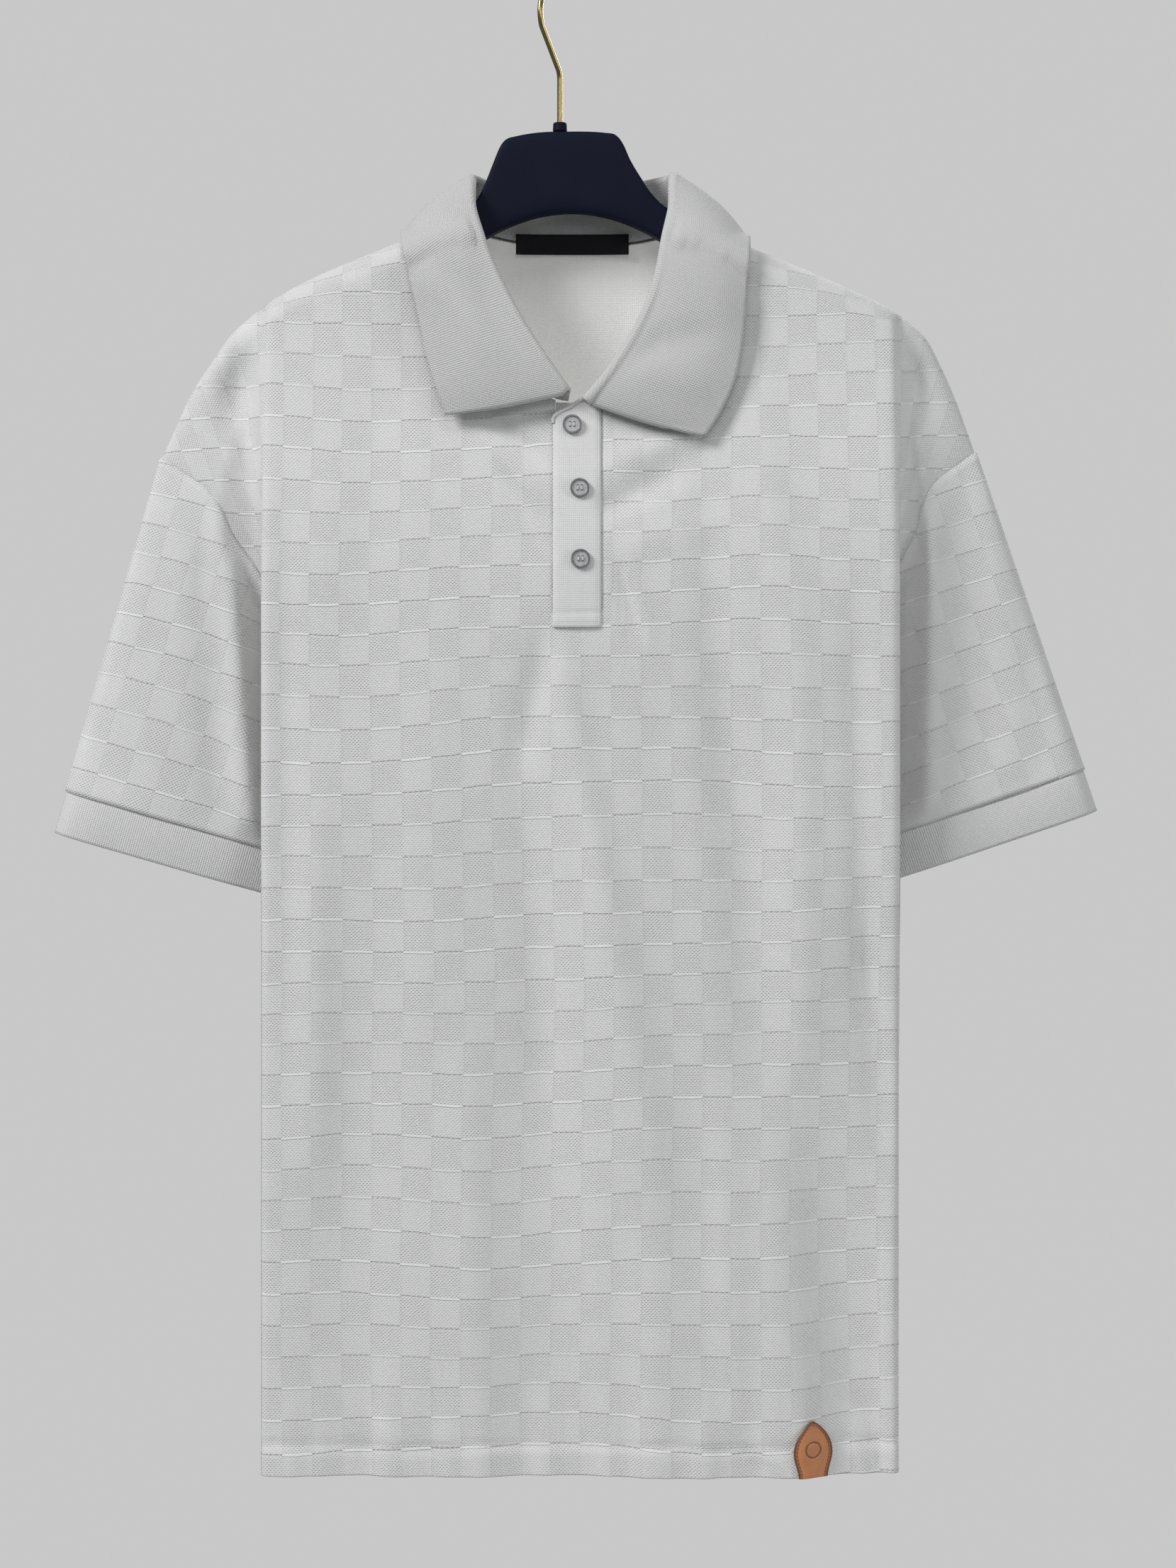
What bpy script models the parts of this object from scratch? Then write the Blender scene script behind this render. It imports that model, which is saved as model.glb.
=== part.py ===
"""A short-sleeved knitted polo shirt hanging on a moulded hanger.

Frame: metres, +Z up, the shirt's front faces -Y. The origin is the point inside the top of the
hanger's hook that bears on a rail. Shirt measurements across are taken from its own centre line.
"""
import math
from collections import namedtuple

import bmesh
import bpy
from mathutils import Matrix, Vector

# ---- driving sizes ---------------------------------------------------------------------------
SHIRT_X = 0.0126          # the shirt's centre line, right of the hook
HEM_Z = -0.895            # hem below the bearing point
SLIT_LEFT, SLIT_RIGHT = -0.0150, 0.0110   # the cut under the placket
FRONT_HALF = 0.190        # the flat front between its two side folds, halved
FOLD_RADIUS = 0.006       # rounding where the front turns back into the side pleat
CLOTH = 0.0014            # knit wall
HEM_HEIGHT = 0.018        # turned hem, two layers thick
SEAM = 0.0003             # gap between sewn pieces
MIDDLE_GAP = 0.00025      # front and back each stop this far from the middle plane
SHOULDER_DEPTH = 0.027    # front and back stand this far from the shoulder line
BODY_DEPTH = 0.045        # and this far further down
ROLL_HEIGHT = 0.020       # drop over which the cloth rolls over the hanger
HANG_FROM_Z, HANG_RUN = -0.190, 0.180   # where the front leaves the hanger, and over what drop
NECK_CURVE = 2.2          # how square the neck hole's lower edge is
PLEAT_HOLLOW, HOLLOW_AT, HOLLOW_WIDE = 0.013, 0.30, 0.26   # the pleat sinks between fold and seam
WELD = 1e-6
NECK_X = -0.005           # middle of the neck hole
NECK_HALF = 0.074
FRONT, BACK = -1, 1
LEFT, RIGHT = -1, 1       # as seen from the front

# The shoulder outline from the neck hole to the top of the armhole, on each side.
Outline = namedtuple("Outline", "x z")
SHOULDER = {
    LEFT: [Outline(0.077, -0.1420), Outline(0.109, -0.1560), Outline(0.1635, -0.1790),
           Outline(0.187, -0.1920), Outline(0.2005, -0.2020), Outline(0.2138, -0.2146),
           Outline(0.2229, -0.2279), Outline(0.2349, -0.2460), Outline(0.2543, -0.2880)],
    RIGHT: [Outline(0.069, -0.1440), Outline(0.104, -0.1600), Outline(0.155, -0.1815),
            Outline(0.187, -0.1970), Outline(0.2000, -0.2060), Outline(0.2100, -0.2160),
            Outline(0.2183, -0.2318), Outline(0.2265, -0.2500), Outline(0.2392, -0.2846)],
}

# The edge that the sleeve and then the other body panel are sewn to, down the panel's length.
# depth is how far it stands from the middle plane.
Edge = namedtuple("Edge", "share x depth z")
SIDE_EDGE = [
    Edge(0.000, 0.2543, 0.0000, -0.2880), Edge(0.0008, 0.2539, 0.0030, -0.2883),
    Edge(0.0035, 0.2527, 0.0060, -0.2890), Edge(0.009, 0.2495, 0.0082, -0.2912),
    Edge(0.020, 0.2425, 0.0106, -0.2960),
    Edge(0.050, 0.2240, 0.0165, -0.3086), Edge(0.068, 0.2170, 0.0195, -0.3180),
    Edge(0.095, 0.2105, 0.0175, -0.3340), Edge(0.135, 0.1950, 0.0125, -0.3560),
    Edge(0.195, 0.1740, 0.0075, -0.3980), Edge(0.270, 0.1530, 0.0006, -0.4550),
    Edge(0.350, 0.1430, 0.0004, -0.5100), Edge(0.450, 0.1370, 0.0004, -0.5750),
    Edge(0.650, 0.1350, 0.0004, -0.7000), Edge(1.000, 0.1350, 0.0004, HEM_Z),
]
ARMPIT = 0.270            # the share of SIDE_EDGE where the armhole ends
# The right armhole's top stands this much nearer the centre and higher.
RIGHT_ARM_IN, RIGHT_ARM_UP = 0.0151, 0.0034

# Long soft folds: x at the upper and lower end, the two heights, half width, and how far the
# cloth comes forward (a negative figure sinks).
Fold = namedtuple("Fold", "x_high z_high x_low z_low half_width rise")
FRONT_FOLDS = [
    Fold(-0.128, -0.480, -0.138, -0.960, 0.026, -0.0050),
    Fold(-0.036, -0.430, -0.012, -0.940, 0.030, -0.0062),
    Fold(-0.016, -0.400, 0.056, -0.900, 0.028, 0.0052),
    Fold(0.070, -0.330, 0.152, -0.880, 0.026, -0.0068),
    Fold(0.122, -0.440, 0.172, -0.900, 0.018, 0.0036),
]
BACK_FOLDS = [
    Fold(-0.110, -0.300, -0.120, -0.980, 0.030, -0.0055),
    Fold(-0.020, -0.260, -0.030, -0.960, 0.034, 0.0050),
    Fold(0.060, -0.320, 0.085, -0.960, 0.030, -0.0060),
    Fold(0.128, -0.420, 0.140, -0.940, 0.024, 0.0042),
]

# How far down its length each row of a body panel lies.
ROWS = [0, 0.0008, 0.0035, 0.009, 0.018, 0.030, 0.048, 0.068, 0.095, 0.130, 0.165, 0.202,
        0.260, 0.340, 0.450, 0.580, 0.740, 0.880, 0.9715, 0.974, 1.0]
SLIT_ROW = ROWS.index(0.202)
STRIP_COLUMNS = [0.12, 0.25, 0.38, 0.52, 0.68, 0.84, 1.0]
OUTER_COLUMNS = [0.190, 0.1885, 0.184, 0.172, 0.158, 0.144, 0.130]
# The columns round the neck leave its corners at a slant, so they spread out further down.
Column = namedtuple("Column", "at_top lower")
NECK_LEFT = [Column(-0.116, -0.119), Column(-0.101, -0.109), Column(-0.088, -0.101),
             Column(-0.079, -0.094)]
NECK_RIGHT = [Column(0.069, 0.0840), Column(0.079, 0.0915), Column(0.094, 0.1010),
              Column(0.112, 0.1140)]
FRONT_MIDDLE = NECK_LEFT + [
    Column(-0.0786, -0.0885), Column(-0.0778, -0.0830), Column(-0.0762, -0.0785),
    Column(-0.0731, -0.0740), Column(-0.0660, -0.0660), Column(-0.0570, -0.0570),
    Column(-0.0460, -0.0460), Column(-0.0350, -0.0350), Column(-0.0250, -0.0250),
    Column(SLIT_LEFT, SLIT_LEFT), Column(SLIT_RIGHT, SLIT_RIGHT), Column(0.0230, 0.0230),
    Column(0.0350, 0.0350), Column(0.0460, 0.0460), Column(0.0560, 0.0560),
    Column(0.0631, 0.0640), Column(0.0662, 0.0685), Column(0.0678, 0.0730),
    Column(0.0686, 0.0785)] + NECK_RIGHT
BACK_MIDDLE = NECK_LEFT + [
    Column(-0.0776, -0.0860), Column(-0.0731, -0.0780), Column(-0.0620, -0.0640),
    Column(-0.0440, -0.0440), Column(-0.0250, -0.0250), Column(-0.0050, -0.0050),
    Column(0.0150, 0.0150), Column(0.0340, 0.0340), Column(0.0520, 0.0540),
    Column(0.0631, 0.0680), Column(0.0676, 0.0760)] + NECK_RIGHT

# ---- neck, placket and collar ----------------------------------------------------------------
FRONT_NECK_DROP = 0.114
BACK_NECK_DROP = 0.012
PLACKET_LEFT, PLACKET_RIGHT = -0.0164, 0.0122
PLACKET_TOP_Z, PLACKET_LOW_Z = -0.2610, -0.3915
STRIP_CLOTH = 0.0012
COLLAR_CLOTH = 0.0016
COLLAR_ROLL = 0.0022      # radius of the collar's fold
COLLAR_LIFT = 0.0034      # the leaf's inner face stands this far off the shirt
LEAF_BULGE = 0.0040       # the leaf swells this far between its fold and its edge

# One row for each section of the collar from its left front end round the back of the neck: the
# fold, and the leaf's outer edge. share runs from -1 to 1 along the fold, seam along the neck hole.
Section = namedtuple("Section", "share seam fold_x fold_y fold_z edge_x edge_y edge_z")
COLLAR = [
    Section(-1.000, -0.990, -0.0065, -0.0395, -0.2500, -0.0802, -0.0400, -0.2655),
    Section(-0.900, -0.890, -0.0190, -0.0385, -0.2325, -0.0852, -0.0390, -0.2505),
    Section(-0.800, -0.786, -0.0335, -0.0360, -0.2100, -0.0915, -0.0370, -0.2290),
    Section(-0.700, -0.693, -0.0470, -0.0320, -0.1850, -0.0965, -0.0350, -0.2050),
    Section(-0.600, -0.595, -0.0580, -0.0260, -0.1600, -0.1015, -0.0330, -0.1840),
    Section(-0.500, -0.490, -0.0640, -0.0150, -0.1360, -0.1070, -0.0240, -0.1630),
    Section(-0.400, -0.420, -0.0640, -0.0010, -0.1185, -0.1080, 0.0020, -0.1530),
    Section(-0.280, -0.230, -0.0530, 0.0160, -0.1180, -0.0950, 0.0300, -0.1640),
    Section(-0.140, -0.105, -0.0290, 0.0245, -0.1200, -0.0480, 0.0345, -0.1740),
    Section(0.000, 0.000, -0.0050, 0.0260, -0.1210, -0.0050, 0.0345, -0.1760),
    Section(0.140, 0.100, 0.0190, 0.0245, -0.1195, 0.0400, 0.0345, -0.1740),
    Section(0.280, 0.225, 0.0420, 0.0160, -0.1165, 0.0850, 0.0300, -0.1650),
    Section(0.400, 0.420, 0.0535, -0.0010, -0.1165, 0.1015, 0.0020, -0.1560),
    Section(0.500, 0.485, 0.0535, -0.0150, -0.1360, 0.1010, -0.0240, -0.1670),
    Section(0.600, 0.595, 0.0490, -0.0260, -0.1620, 0.0985, -0.0330, -0.1930),
    Section(0.700, 0.690, 0.0425, -0.0320, -0.1880, 0.0965, -0.0350, -0.2170),
    Section(0.800, 0.783, 0.0310, -0.0360, -0.2140, 0.0925, -0.0370, -0.2410),
    Section(0.900, 0.880, 0.0160, -0.0390, -0.2375, 0.0840, -0.0390, -0.2620),
    Section(1.000, 0.974, 0.0015, -0.0405, -0.2555, 0.0739, -0.0410, -0.2785),
]
COLLAR_STEPS = 36
SHOULDER_SHARE = 0.42     # where the neck seam crosses the shoulder line

# ---- sleeves ---------------------------------------------------------------------------------
# The cuff seam's two ends, and the free edge's outer end.
Cuff = namedtuple("Cuff", "outer_x outer_z inner_x inner_z")
CUFF_SEAM = {LEFT: Cuff(0.3115, -0.4890, 0.1650, -0.5310),
             RIGHT: Cuff(0.3045, -0.4760, 0.1650, -0.5230)}
CUFF_HEIGHT = 0.0260
CUFF_INSET = 0.0014       # the rib band sits this far inside the sleeve's end
CUFF_CLOTH = 0.0018
SLEEVE_HALF_THICK = 0.0135
SLEEVE_AROUND = 26
SLEEVE_ROWS = [0, 0.08, 0.2, 0.34, 0.5, 0.66, 0.82, 0.93, 1.0]
# How thick the hanging sleeve is across its width, from the outer fold to the underarm.
Thick = namedtuple("Thick", "across share")
SLEEVE_PROFILE = [Thick(0, 0), Thick(0.03, 0.50), Thick(0.10, 0.85), Thick(0.25, 1.0),
                  Thick(0.50, 1.05), Thick(0.72, 1.0), Thick(0.82, 0.72), Thick(0.92, 0.42),
                  Thick(1, 0)]

# ---- small parts -----------------------------------------------------------------------------
BUTTON_RADIUS = 0.00575
BUTTON_THICK = 0.0026
BUTTON_FLOOR = 0.0017     # thickness inside the raised rim
HOLE_RADIUS, HOLE_OFF = 0.0007, 0.00125
BUTTONS = {"button_top": (-0.0050, -0.2705), "button_middle": (-0.0005, -0.3088),
           "button_low": (0.0000, -0.3511)}
TAB_X, TAB_TOP_Z, TAB_HEIGHT, TAB_THICK = 0.1378, -0.8620, 0.0330, 0.0018
LABEL_X, LABEL_HALF, LABEL_TOP_Z, LABEL_HEIGHT = -0.0052, 0.0345, -0.1475, 0.0125
LABEL_THICK = 0.0010

# ---- hanger ----------------------------------------------------------------------------------
HANGER_X, HANGER_HALF = 0.007, 0.176
HANGER_CLEAR = 0.0022     # between the arm and the cloth's outer face
YOKE = [Outline(-0.084, -0.1530), Outline(-0.071, -0.1490), Outline(-0.062, -0.1435),
        Outline(-0.0565, -0.1365), Outline(-0.051, -0.1283),
        Outline(-0.046, -0.1120), Outline(-0.039, -0.0975), Outline(-0.034, -0.0925),
        Outline(-0.020, -0.0905), Outline(0.000, -0.0895), Outline(0.020, -0.0895),
        Outline(0.034, -0.0910), Outline(0.041, -0.0975), Outline(0.048, -0.1110),
        Outline(0.055, -0.1240), Outline(0.060, -0.1288), Outline(0.065, -0.1327),
        Outline(0.071, -0.1400), Outline(0.079, -0.1490), Outline(0.096, -0.1580)]
ARCH_TOP_Z, ARCH_HALF, ARCH_RISE, ARM_FALL = -0.1385, 0.054, 0.0170, 0.44
YOKE_HALF_DEPTH, ARM_HALF_DEPTH = 0.0068, 0.0160
NECK_RADIUS, NECK_TOP_Z, NECK_LOW_Z = 0.0044, -0.0835, -0.0891
WIRE = 0.0017             # hook wire radius
HOOK_RADIUS = 0.0198      # inside the hook
HOOK_FROM, HOOK_TO = 205, 30   # degrees round the hook, from the slant to its free end
BEND_Z = -0.0555          # where the stem turns into the slant
HOOK_TURN = math.radians(57)  # the hook's plane, turned from the shirt's


def smooth(share):
    share = min(1.0, max(0.0, share))
    return share * share * (3 - 2 * share)


def mix(a, b, share):
    return a + (b - a) * share


def bump(distance, half_width):
    """A soft hump, 1 in the middle and 0 from twice the half width on."""
    return math.exp(-(distance / half_width) ** 2)


def read(rows, key, at):
    """The row of a table at a value of one column, on a smooth curve through its rows."""
    keys = [getattr(row, key) for row in rows]
    at = min(max(at, keys[0]), keys[-1])
    i = max(k for k in range(len(rows) - 1) if keys[k] <= at or k == 0)
    span = keys[i + 1] - keys[i]
    t = (at - keys[i]) / span
    values = []
    for name in rows[0]._fields:
        here, there = getattr(rows[i], name), getattr(rows[i + 1], name)
        slope_in = slope_out = (there - here) / span
        if i > 0:
            before = (here - getattr(rows[i - 1], name)) / (keys[i] - keys[i - 1])
            slope_in = (before + slope_in) / 2 if before * slope_in > 0 else 0.0
        if i + 2 < len(rows):
            after = (getattr(rows[i + 2], name) - there) / (keys[i + 2] - keys[i + 1])
            slope_out = (after + slope_out) / 2 if after * slope_out > 0 else 0.0
        values.append((2 * t ** 3 - 3 * t ** 2 + 1) * here + (t ** 3 - 2 * t ** 2 + t) * span * slope_in
                      + (-2 * t ** 3 + 3 * t ** 2) * there + (t ** 3 - t ** 2) * span * slope_out)
    return type(rows[0])(*values)


# ---- the shirt's surface ---------------------------------------------------------------------
def shoulder_z(x):
    """Height of the shoulder line, carried on across the neck hole."""
    left, right = SHOULDER[LEFT][0], SHOULDER[RIGHT][0]
    if -left.x < x < right.x:
        return mix(left.z, right.z, (x + left.x) / (left.x + right.x))
    return read(SHOULDER[LEFT if x < 0 else RIGHT], "x", abs(x)).z


def hang_depth(z):
    return mix(SHOULDER_DEPTH, BODY_DEPTH, smooth((HANG_FROM_Z - z) / HANG_RUN))


def relief(folds, x, z):
    total = 0.0
    for fold in folds:
        share = (fold.z_high - z) / (fold.z_high - fold.z_low)
        middle = mix(fold.x_high, fold.x_low, max(share, 0.0))
        total += fold.rise * bump(x - middle, fold.half_width) * smooth(share / 0.45)
    return total


def neck_drop(face, x):
    """How far the neck hole lies below the shoulder line."""
    across = min(1.0, abs(x - NECK_X) / NECK_HALF)
    return (FRONT_NECK_DROP if face == FRONT else BACK_NECK_DROP) * (1 - across ** NECK_CURVE)


def top_z(face, x):
    return shoulder_z(x) - neck_drop(face, x)


def panel_depth(face, x, z):
    """Distance from the middle plane of a panel's outer face: it rolls forward over the hanger
    from the shoulder line, then hangs."""
    roll = max(0.0, 1 - max(0.0, shoulder_z(x) - z) / ROLL_HEIGHT)
    deep = hang_depth(z) + relief(FRONT_FOLDS if face == FRONT else BACK_FOLDS, x, z)
    turned = max(0.0, abs(x) - FRONT_HALF + FOLD_RADIUS)
    deep -= FOLD_RADIUS - math.sqrt(max(0.0, FOLD_RADIUS ** 2 - turned ** 2))
    return MIDDLE_GAP + deep * math.sqrt(1 - roll * roll)


def body_point(face, x, z):
    return Vector((x, face * panel_depth(face, x, z), z))


def on_front(x, z, lift):
    """A point moved out by lift from the front panel's face."""
    return body_point(FRONT, x, z) + Vector((0, -lift, 0))


def edge_point(face, side, share):
    edge = read(SIDE_EDGE, "share", share)
    moved = 1 - smooth(share / 0.20) if side == RIGHT else 0.0
    return Vector((side * (edge.x - RIGHT_ARM_IN * moved), face * (MIDDLE_GAP + edge.depth),
                   edge.z + RIGHT_ARM_UP * moved))


def outline_point(side, share):
    """A point of the free shoulder, from the side fold to the armhole's top."""
    rows = SHOULDER[side]
    x = mix(FRONT_HALF, rows[-1].x, 1 - (1 - share) ** 1.35)
    return Vector((side * x, 0.0, read(rows, "x", x).z))


def strip_point(face, side, across, share):
    """A point between the side fold and the sewn edge."""
    top = shoulder_z(side * FRONT_HALF)
    fold = body_point(face, side * FRONT_HALF, mix(top, HEM_Z, share))
    sewn = edge_point(face, side, share)
    point = fold.lerp(sewn, across)
    straight = body_point(face, side * FRONT_HALF, top).lerp(edge_point(face, side, 0), across)
    bowed = outline_point(side, across) - straight
    bowed.y = 0
    point += bowed * (1 - smooth(share / 0.16))
    hollow = PLEAT_HOLLOW * bump(across - HOLLOW_AT, HOLLOW_WIDE) * smooth(share / 0.05)
    hollow *= smooth((abs(sewn.x) - FRONT_HALF - 0.004) / 0.030) * (1 - abs(across - 0.5) ** 3 * 8)
    point.y -= face * hollow
    return point


# ---- building --------------------------------------------------------------------------------
def material(name, color, rough, metal=0.0):
    made = bpy.data.materials.get(name) or bpy.data.materials.new(name)
    made.use_nodes = True
    shader = made.node_tree.nodes["Principled BSDF"]
    shader.inputs["Base Color"].default_value = (*color, 1)
    shader.inputs["Roughness"].default_value = rough
    shader.inputs["Metallic"].default_value = metal
    return made


def add_node(name, mesh, finish, x=SHIRT_X):
    node = bpy.data.objects.new(name, mesh)
    node.location.x = x
    node.data.materials.append(finish)
    PARTS.objects.link(node)
    return node


def lattice(name, columns, rows, place, closed=False, drop=None):
    """A grid of columns by rows whose vertices are placed by a function of the two indices."""
    mesh = bpy.data.meshes.new(name)
    bm = bmesh.new()
    bmesh.ops.create_grid(bm, x_segments=columns - 1, y_segments=rows - 1, size=1)
    for vertex in bm.verts:
        column = round((vertex.co.x + 1) / 2 * (columns - 1))
        row = round((1 - vertex.co.y) / 2 * (rows - 1))
        vertex.co = (column, row, 0)
    if drop:
        gone = [f for f in bm.faces if drop(f.calc_center_median().x, f.calc_center_median().y)]
        bmesh.ops.delete(bm, geom=gone, context="FACES")
    for vertex in bm.verts:
        vertex.co = place(round(vertex.co.x), round(vertex.co.y))
    if closed:
        bmesh.ops.remove_doubles(bm, verts=bm.verts, dist=WELD)
    bm.to_mesh(mesh)
    bm.free()
    mesh.shade_smooth()
    return mesh


def flip(mesh):
    bm = bmesh.new()
    bm.from_mesh(mesh)
    bmesh.ops.reverse_faces(bm, faces=bm.faces)
    bm.to_mesh(mesh)
    bm.free()
    return mesh


def give_wall(node, thickness, hem=None):
    """Thickens an open surface inwards; rows past the hem's height are two layers."""
    wall = node.modifiers.new("Wall", "SOLIDIFY")
    wall.thickness = thickness
    wall.offset = -1
    if hem is not None:
        wall.thickness = 2 * thickness
        wall.thickness_vertex_group = 0.5
        group = node.vertex_groups.new(name="hem")
        group.add([v.index for v in node.data.vertices if v.co.z < hem], 1.0, "REPLACE")
        wall.vertex_group = group.name
    return node


def panel_columns(face):
    """Each column from left to right: the side of a pleat and the share across it, or 0 and the
    distance across at the top edge and further down."""
    middle = FRONT_MIDDLE if face == FRONT else BACK_MIDDLE
    columns = [(LEFT, a, a) for a in reversed(STRIP_COLUMNS)]
    columns += [(0, -x, -x) for x in OUTER_COLUMNS]
    columns += [(0, column.at_top, column.lower) for column in middle]
    columns += [(0, x, x) for x in reversed(OUTER_COLUMNS)]
    return columns + [(RIGHT, a, a) for a in STRIP_COLUMNS]


def body_panel(name, face, finish):
    """Front or back: its top edge is the shoulders and neck hole, its sides the armholes and
    side seams, and beyond each side fold a pleat runs back to the side seam."""
    columns = panel_columns(face)
    slit = None
    if face == FRONT:
        first = columns.index((0, SLIT_LEFT, SLIT_LEFT))
        slit = lambda column, row: first < column < first + 1 and row < SLIT_ROW

    def place(column, row):
        side, at_top, lower = columns[column]
        share = ROWS[row]
        if side:
            return strip_point(face, side, at_top, share)
        x = mix(at_top, lower, min(1.0, share / 0.05) ** 0.35)
        return body_point(face, x, mix(shoulder_z(x) - neck_drop(face, at_top), HEM_Z, share))

    mesh = lattice(name, len(columns), len(ROWS), place, drop=slit)
    if face == BACK:
        flip(mesh)
    node = give_wall(add_node(name, mesh, finish), CLOTH, hem=HEM_Z + HEM_HEIGHT + 0.0005)
    return node


def sleeve_ring(side, step, low):
    """The armhole end and the cuff end of one of the lines that run down a sleeve."""
    turn = 2 * step / SLEEVE_AROUND - 1
    face = FRONT if turn < 0 else BACK
    share = abs(turn)
    top = edge_point(face, side, ARMPIT * share ** 2.2)
    cuff = CUFF_SEAM[side]
    profile = read(SLEEVE_PROFILE, "across", (1 - math.cos(math.pi * share)) / 2)
    across = profile.across
    end = Vector((side * mix(cuff.outer_x, cuff.inner_x, across),
                  face * SLEEVE_HALF_THICK * profile.share,
                  mix(cuff.outer_z, cuff.inner_z, across)))
    along = Vector((side * (cuff.outer_z - cuff.inner_z), 0, cuff.inner_x - cuff.outer_x)).normalized()
    if low:
        middle = Vector((side * (cuff.outer_x + cuff.inner_x) / 2, 0, (cuff.outer_z + cuff.inner_z) / 2))
        inward = (middle - end)
        inward.y = -end.y * 6
        return end + inward.normalized() * CUFF_INSET, along
    away = mix(2 * SEAM, 0.0060, smooth((share - 0.50) / 0.40))
    return top + (end - top).normalized() * away, end


def sleeve(name, side, finish):
    def place(step, row):
        top, end = sleeve_ring(side, step % SLEEVE_AROUND, low=False)
        return top.lerp(end, SLEEVE_ROWS[row])

    mesh = lattice(name, SLEEVE_AROUND + 1, len(SLEEVE_ROWS), place, closed=True)
    return give_wall(add_node(name, mesh if side == LEFT else flip(mesh), finish), CLOTH)


def cuff(name, side, finish):
    def place(step, row):
        start, along = sleeve_ring(side, step % SLEEVE_AROUND, low=True)
        return start + along * mix(SEAM, CUFF_HEIGHT, row / 2)

    mesh = lattice(name, SLEEVE_AROUND + 1, 3, place, closed=True)
    return give_wall(add_node(name, mesh if side == LEFT else flip(mesh), finish), CUFF_CLOTH)


def neck_seam(share):
    """The neck hole's edge at a share from -1 to 1 round it, starting at the front's middle."""
    side = LEFT if share < 0 else RIGHT
    turn = abs(share)
    face = FRONT if turn > SHOULDER_SHARE else BACK
    span = 1 - SHOULDER_SHARE if face == FRONT else SHOULDER_SHARE
    x = NECK_X + side * NECK_HALF * (1 - (abs(turn - SHOULDER_SHARE) / span) ** 2)
    return body_point(face, x, top_z(face, x))


def clear_of_shirt(point, lift):
    """Moves a point out until it is at least lift off the shirt's shoulders, front and back."""
    x, y, z = point
    centre = shoulder_z(x) - ROLL_HEIGHT
    if z < centre:
        face = FRONT if y < 0 else BACK
        return Vector((x, face * max(abs(y), hang_depth(z) + lift), z))
    reach = math.hypot(y / SHOULDER_DEPTH, (z - centre) / ROLL_HEIGHT)
    wanted = 1 + lift / ROLL_HEIGHT
    if reach >= wanted or reach < 1e-6:
        return point
    grow = wanted / reach
    return Vector((x, y * grow, centre + (z - centre) * grow))


def collar_line(share):
    """The collar's section at one place: from the neck seam up the stand, over the fold and
    down the leaf to its edge."""
    row = read(COLLAR, "share", share)
    fold = Vector((row.fold_x, row.fold_y, row.fold_z))
    edge = Vector((row.edge_x, row.edge_y, row.edge_z))
    seam = neck_seam(row.seam)
    ahead, behind = read(COLLAR, "share", share + 0.02), read(COLLAR, "share", share - 0.02)
    tangent = Vector((ahead.fold_x - behind.fold_x, ahead.fold_y - behind.fold_y, ahead.fold_z - behind.fold_z))
    rise = (fold - seam).normalized()
    out = rise.cross(tangent).normalized()
    seam += rise * (SEAM + 0.0006)
    centre = fold - rise * COLLAR_ROLL + out * COLLAR_ROLL
    points = [seam.lerp(centre - out * COLLAR_ROLL, s) for s in (0, 0.33, 0.66, 1)]
    for angle in (135, 90, 45):
        turn = math.radians(angle)
        points.append(centre + COLLAR_ROLL * (out * math.cos(turn) + rise * math.sin(turn)))
    start = centre + out * COLLAR_ROLL
    for s in (0.0, 0.12, 0.26, 0.42, 0.60, 0.80, 1.0):
        point = start.lerp(edge, s) + out * LEAF_BULGE * math.sin(math.pi * s)
        points.append(clear_of_shirt(point, COLLAR_LIFT + COLLAR_CLOTH) if s > 0.1 else point)
    return points


def collar(finish):
    lines = [collar_line(mix(-1, 1, i / COLLAR_STEPS)) for i in range(COLLAR_STEPS + 1)]
    mesh = lattice("collar", COLLAR_STEPS + 1, len(lines[0]), lambda c, r: lines[c][r])
    return give_wall(add_node("collar", mesh, finish), COLLAR_CLOTH)


def placket_strip(name, left, right, top_z, low_z, lift, thickness, finish):
    steps = 10

    def place(column, row):
        x = mix(left, right, column / 3)
        return on_front(x, mix(top_z, low_z, row / steps), lift)

    node = add_node(name, lattice(name, 4, steps + 1, place), finish)
    return give_wall(node, thickness)


def button(name, x, z, finish):
    """A turned disc with a raised rim and four thread holes."""
    rim, well = BUTTON_RADIUS, BUTTON_RADIUS * 0.74
    profile = [(0, 0), (rim * 0.86, 0), (rim, 0.0009), (rim, 0.0020), (rim * 0.93, BUTTON_THICK),
               (rim * 0.84, BUTTON_THICK), (well, BUTTON_FLOOR), (0, BUTTON_FLOOR)]
    bm = bmesh.new()
    previous = None
    for radius, height in profile:
        vertex = bm.verts.new((radius, -height, 0))
        if previous:
            bm.edges.new((previous, vertex))
        previous = vertex
    bmesh.ops.spin(bm, geom=bm.verts[:] + bm.edges[:], cent=(0, 0, 0), axis=(0, 1, 0),
                   angle=2 * math.pi, steps=20, use_merge=True, use_duplicate=False)
    bmesh.ops.remove_doubles(bm, verts=bm.verts, dist=WELD)
    bmesh.ops.recalc_face_normals(bm, faces=bm.faces)
    mesh = bpy.data.meshes.new(name)
    bm.to_mesh(mesh)
    bm.free()
    node = add_node(name, mesh, finish)
    seat = on_front(x, z, STRIP_CLOTH + 4.5 * SEAM)
    node.location = seat + Vector((SHIRT_X, 0, 0))
    holes = node.modifiers.new("Thread_holes", "BOOLEAN")
    holes.operation = "DIFFERENCE"
    holes.object = HOLE_CUTTERS[name]
    HOLE_CUTTERS[name].location = node.location
    return node


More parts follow.
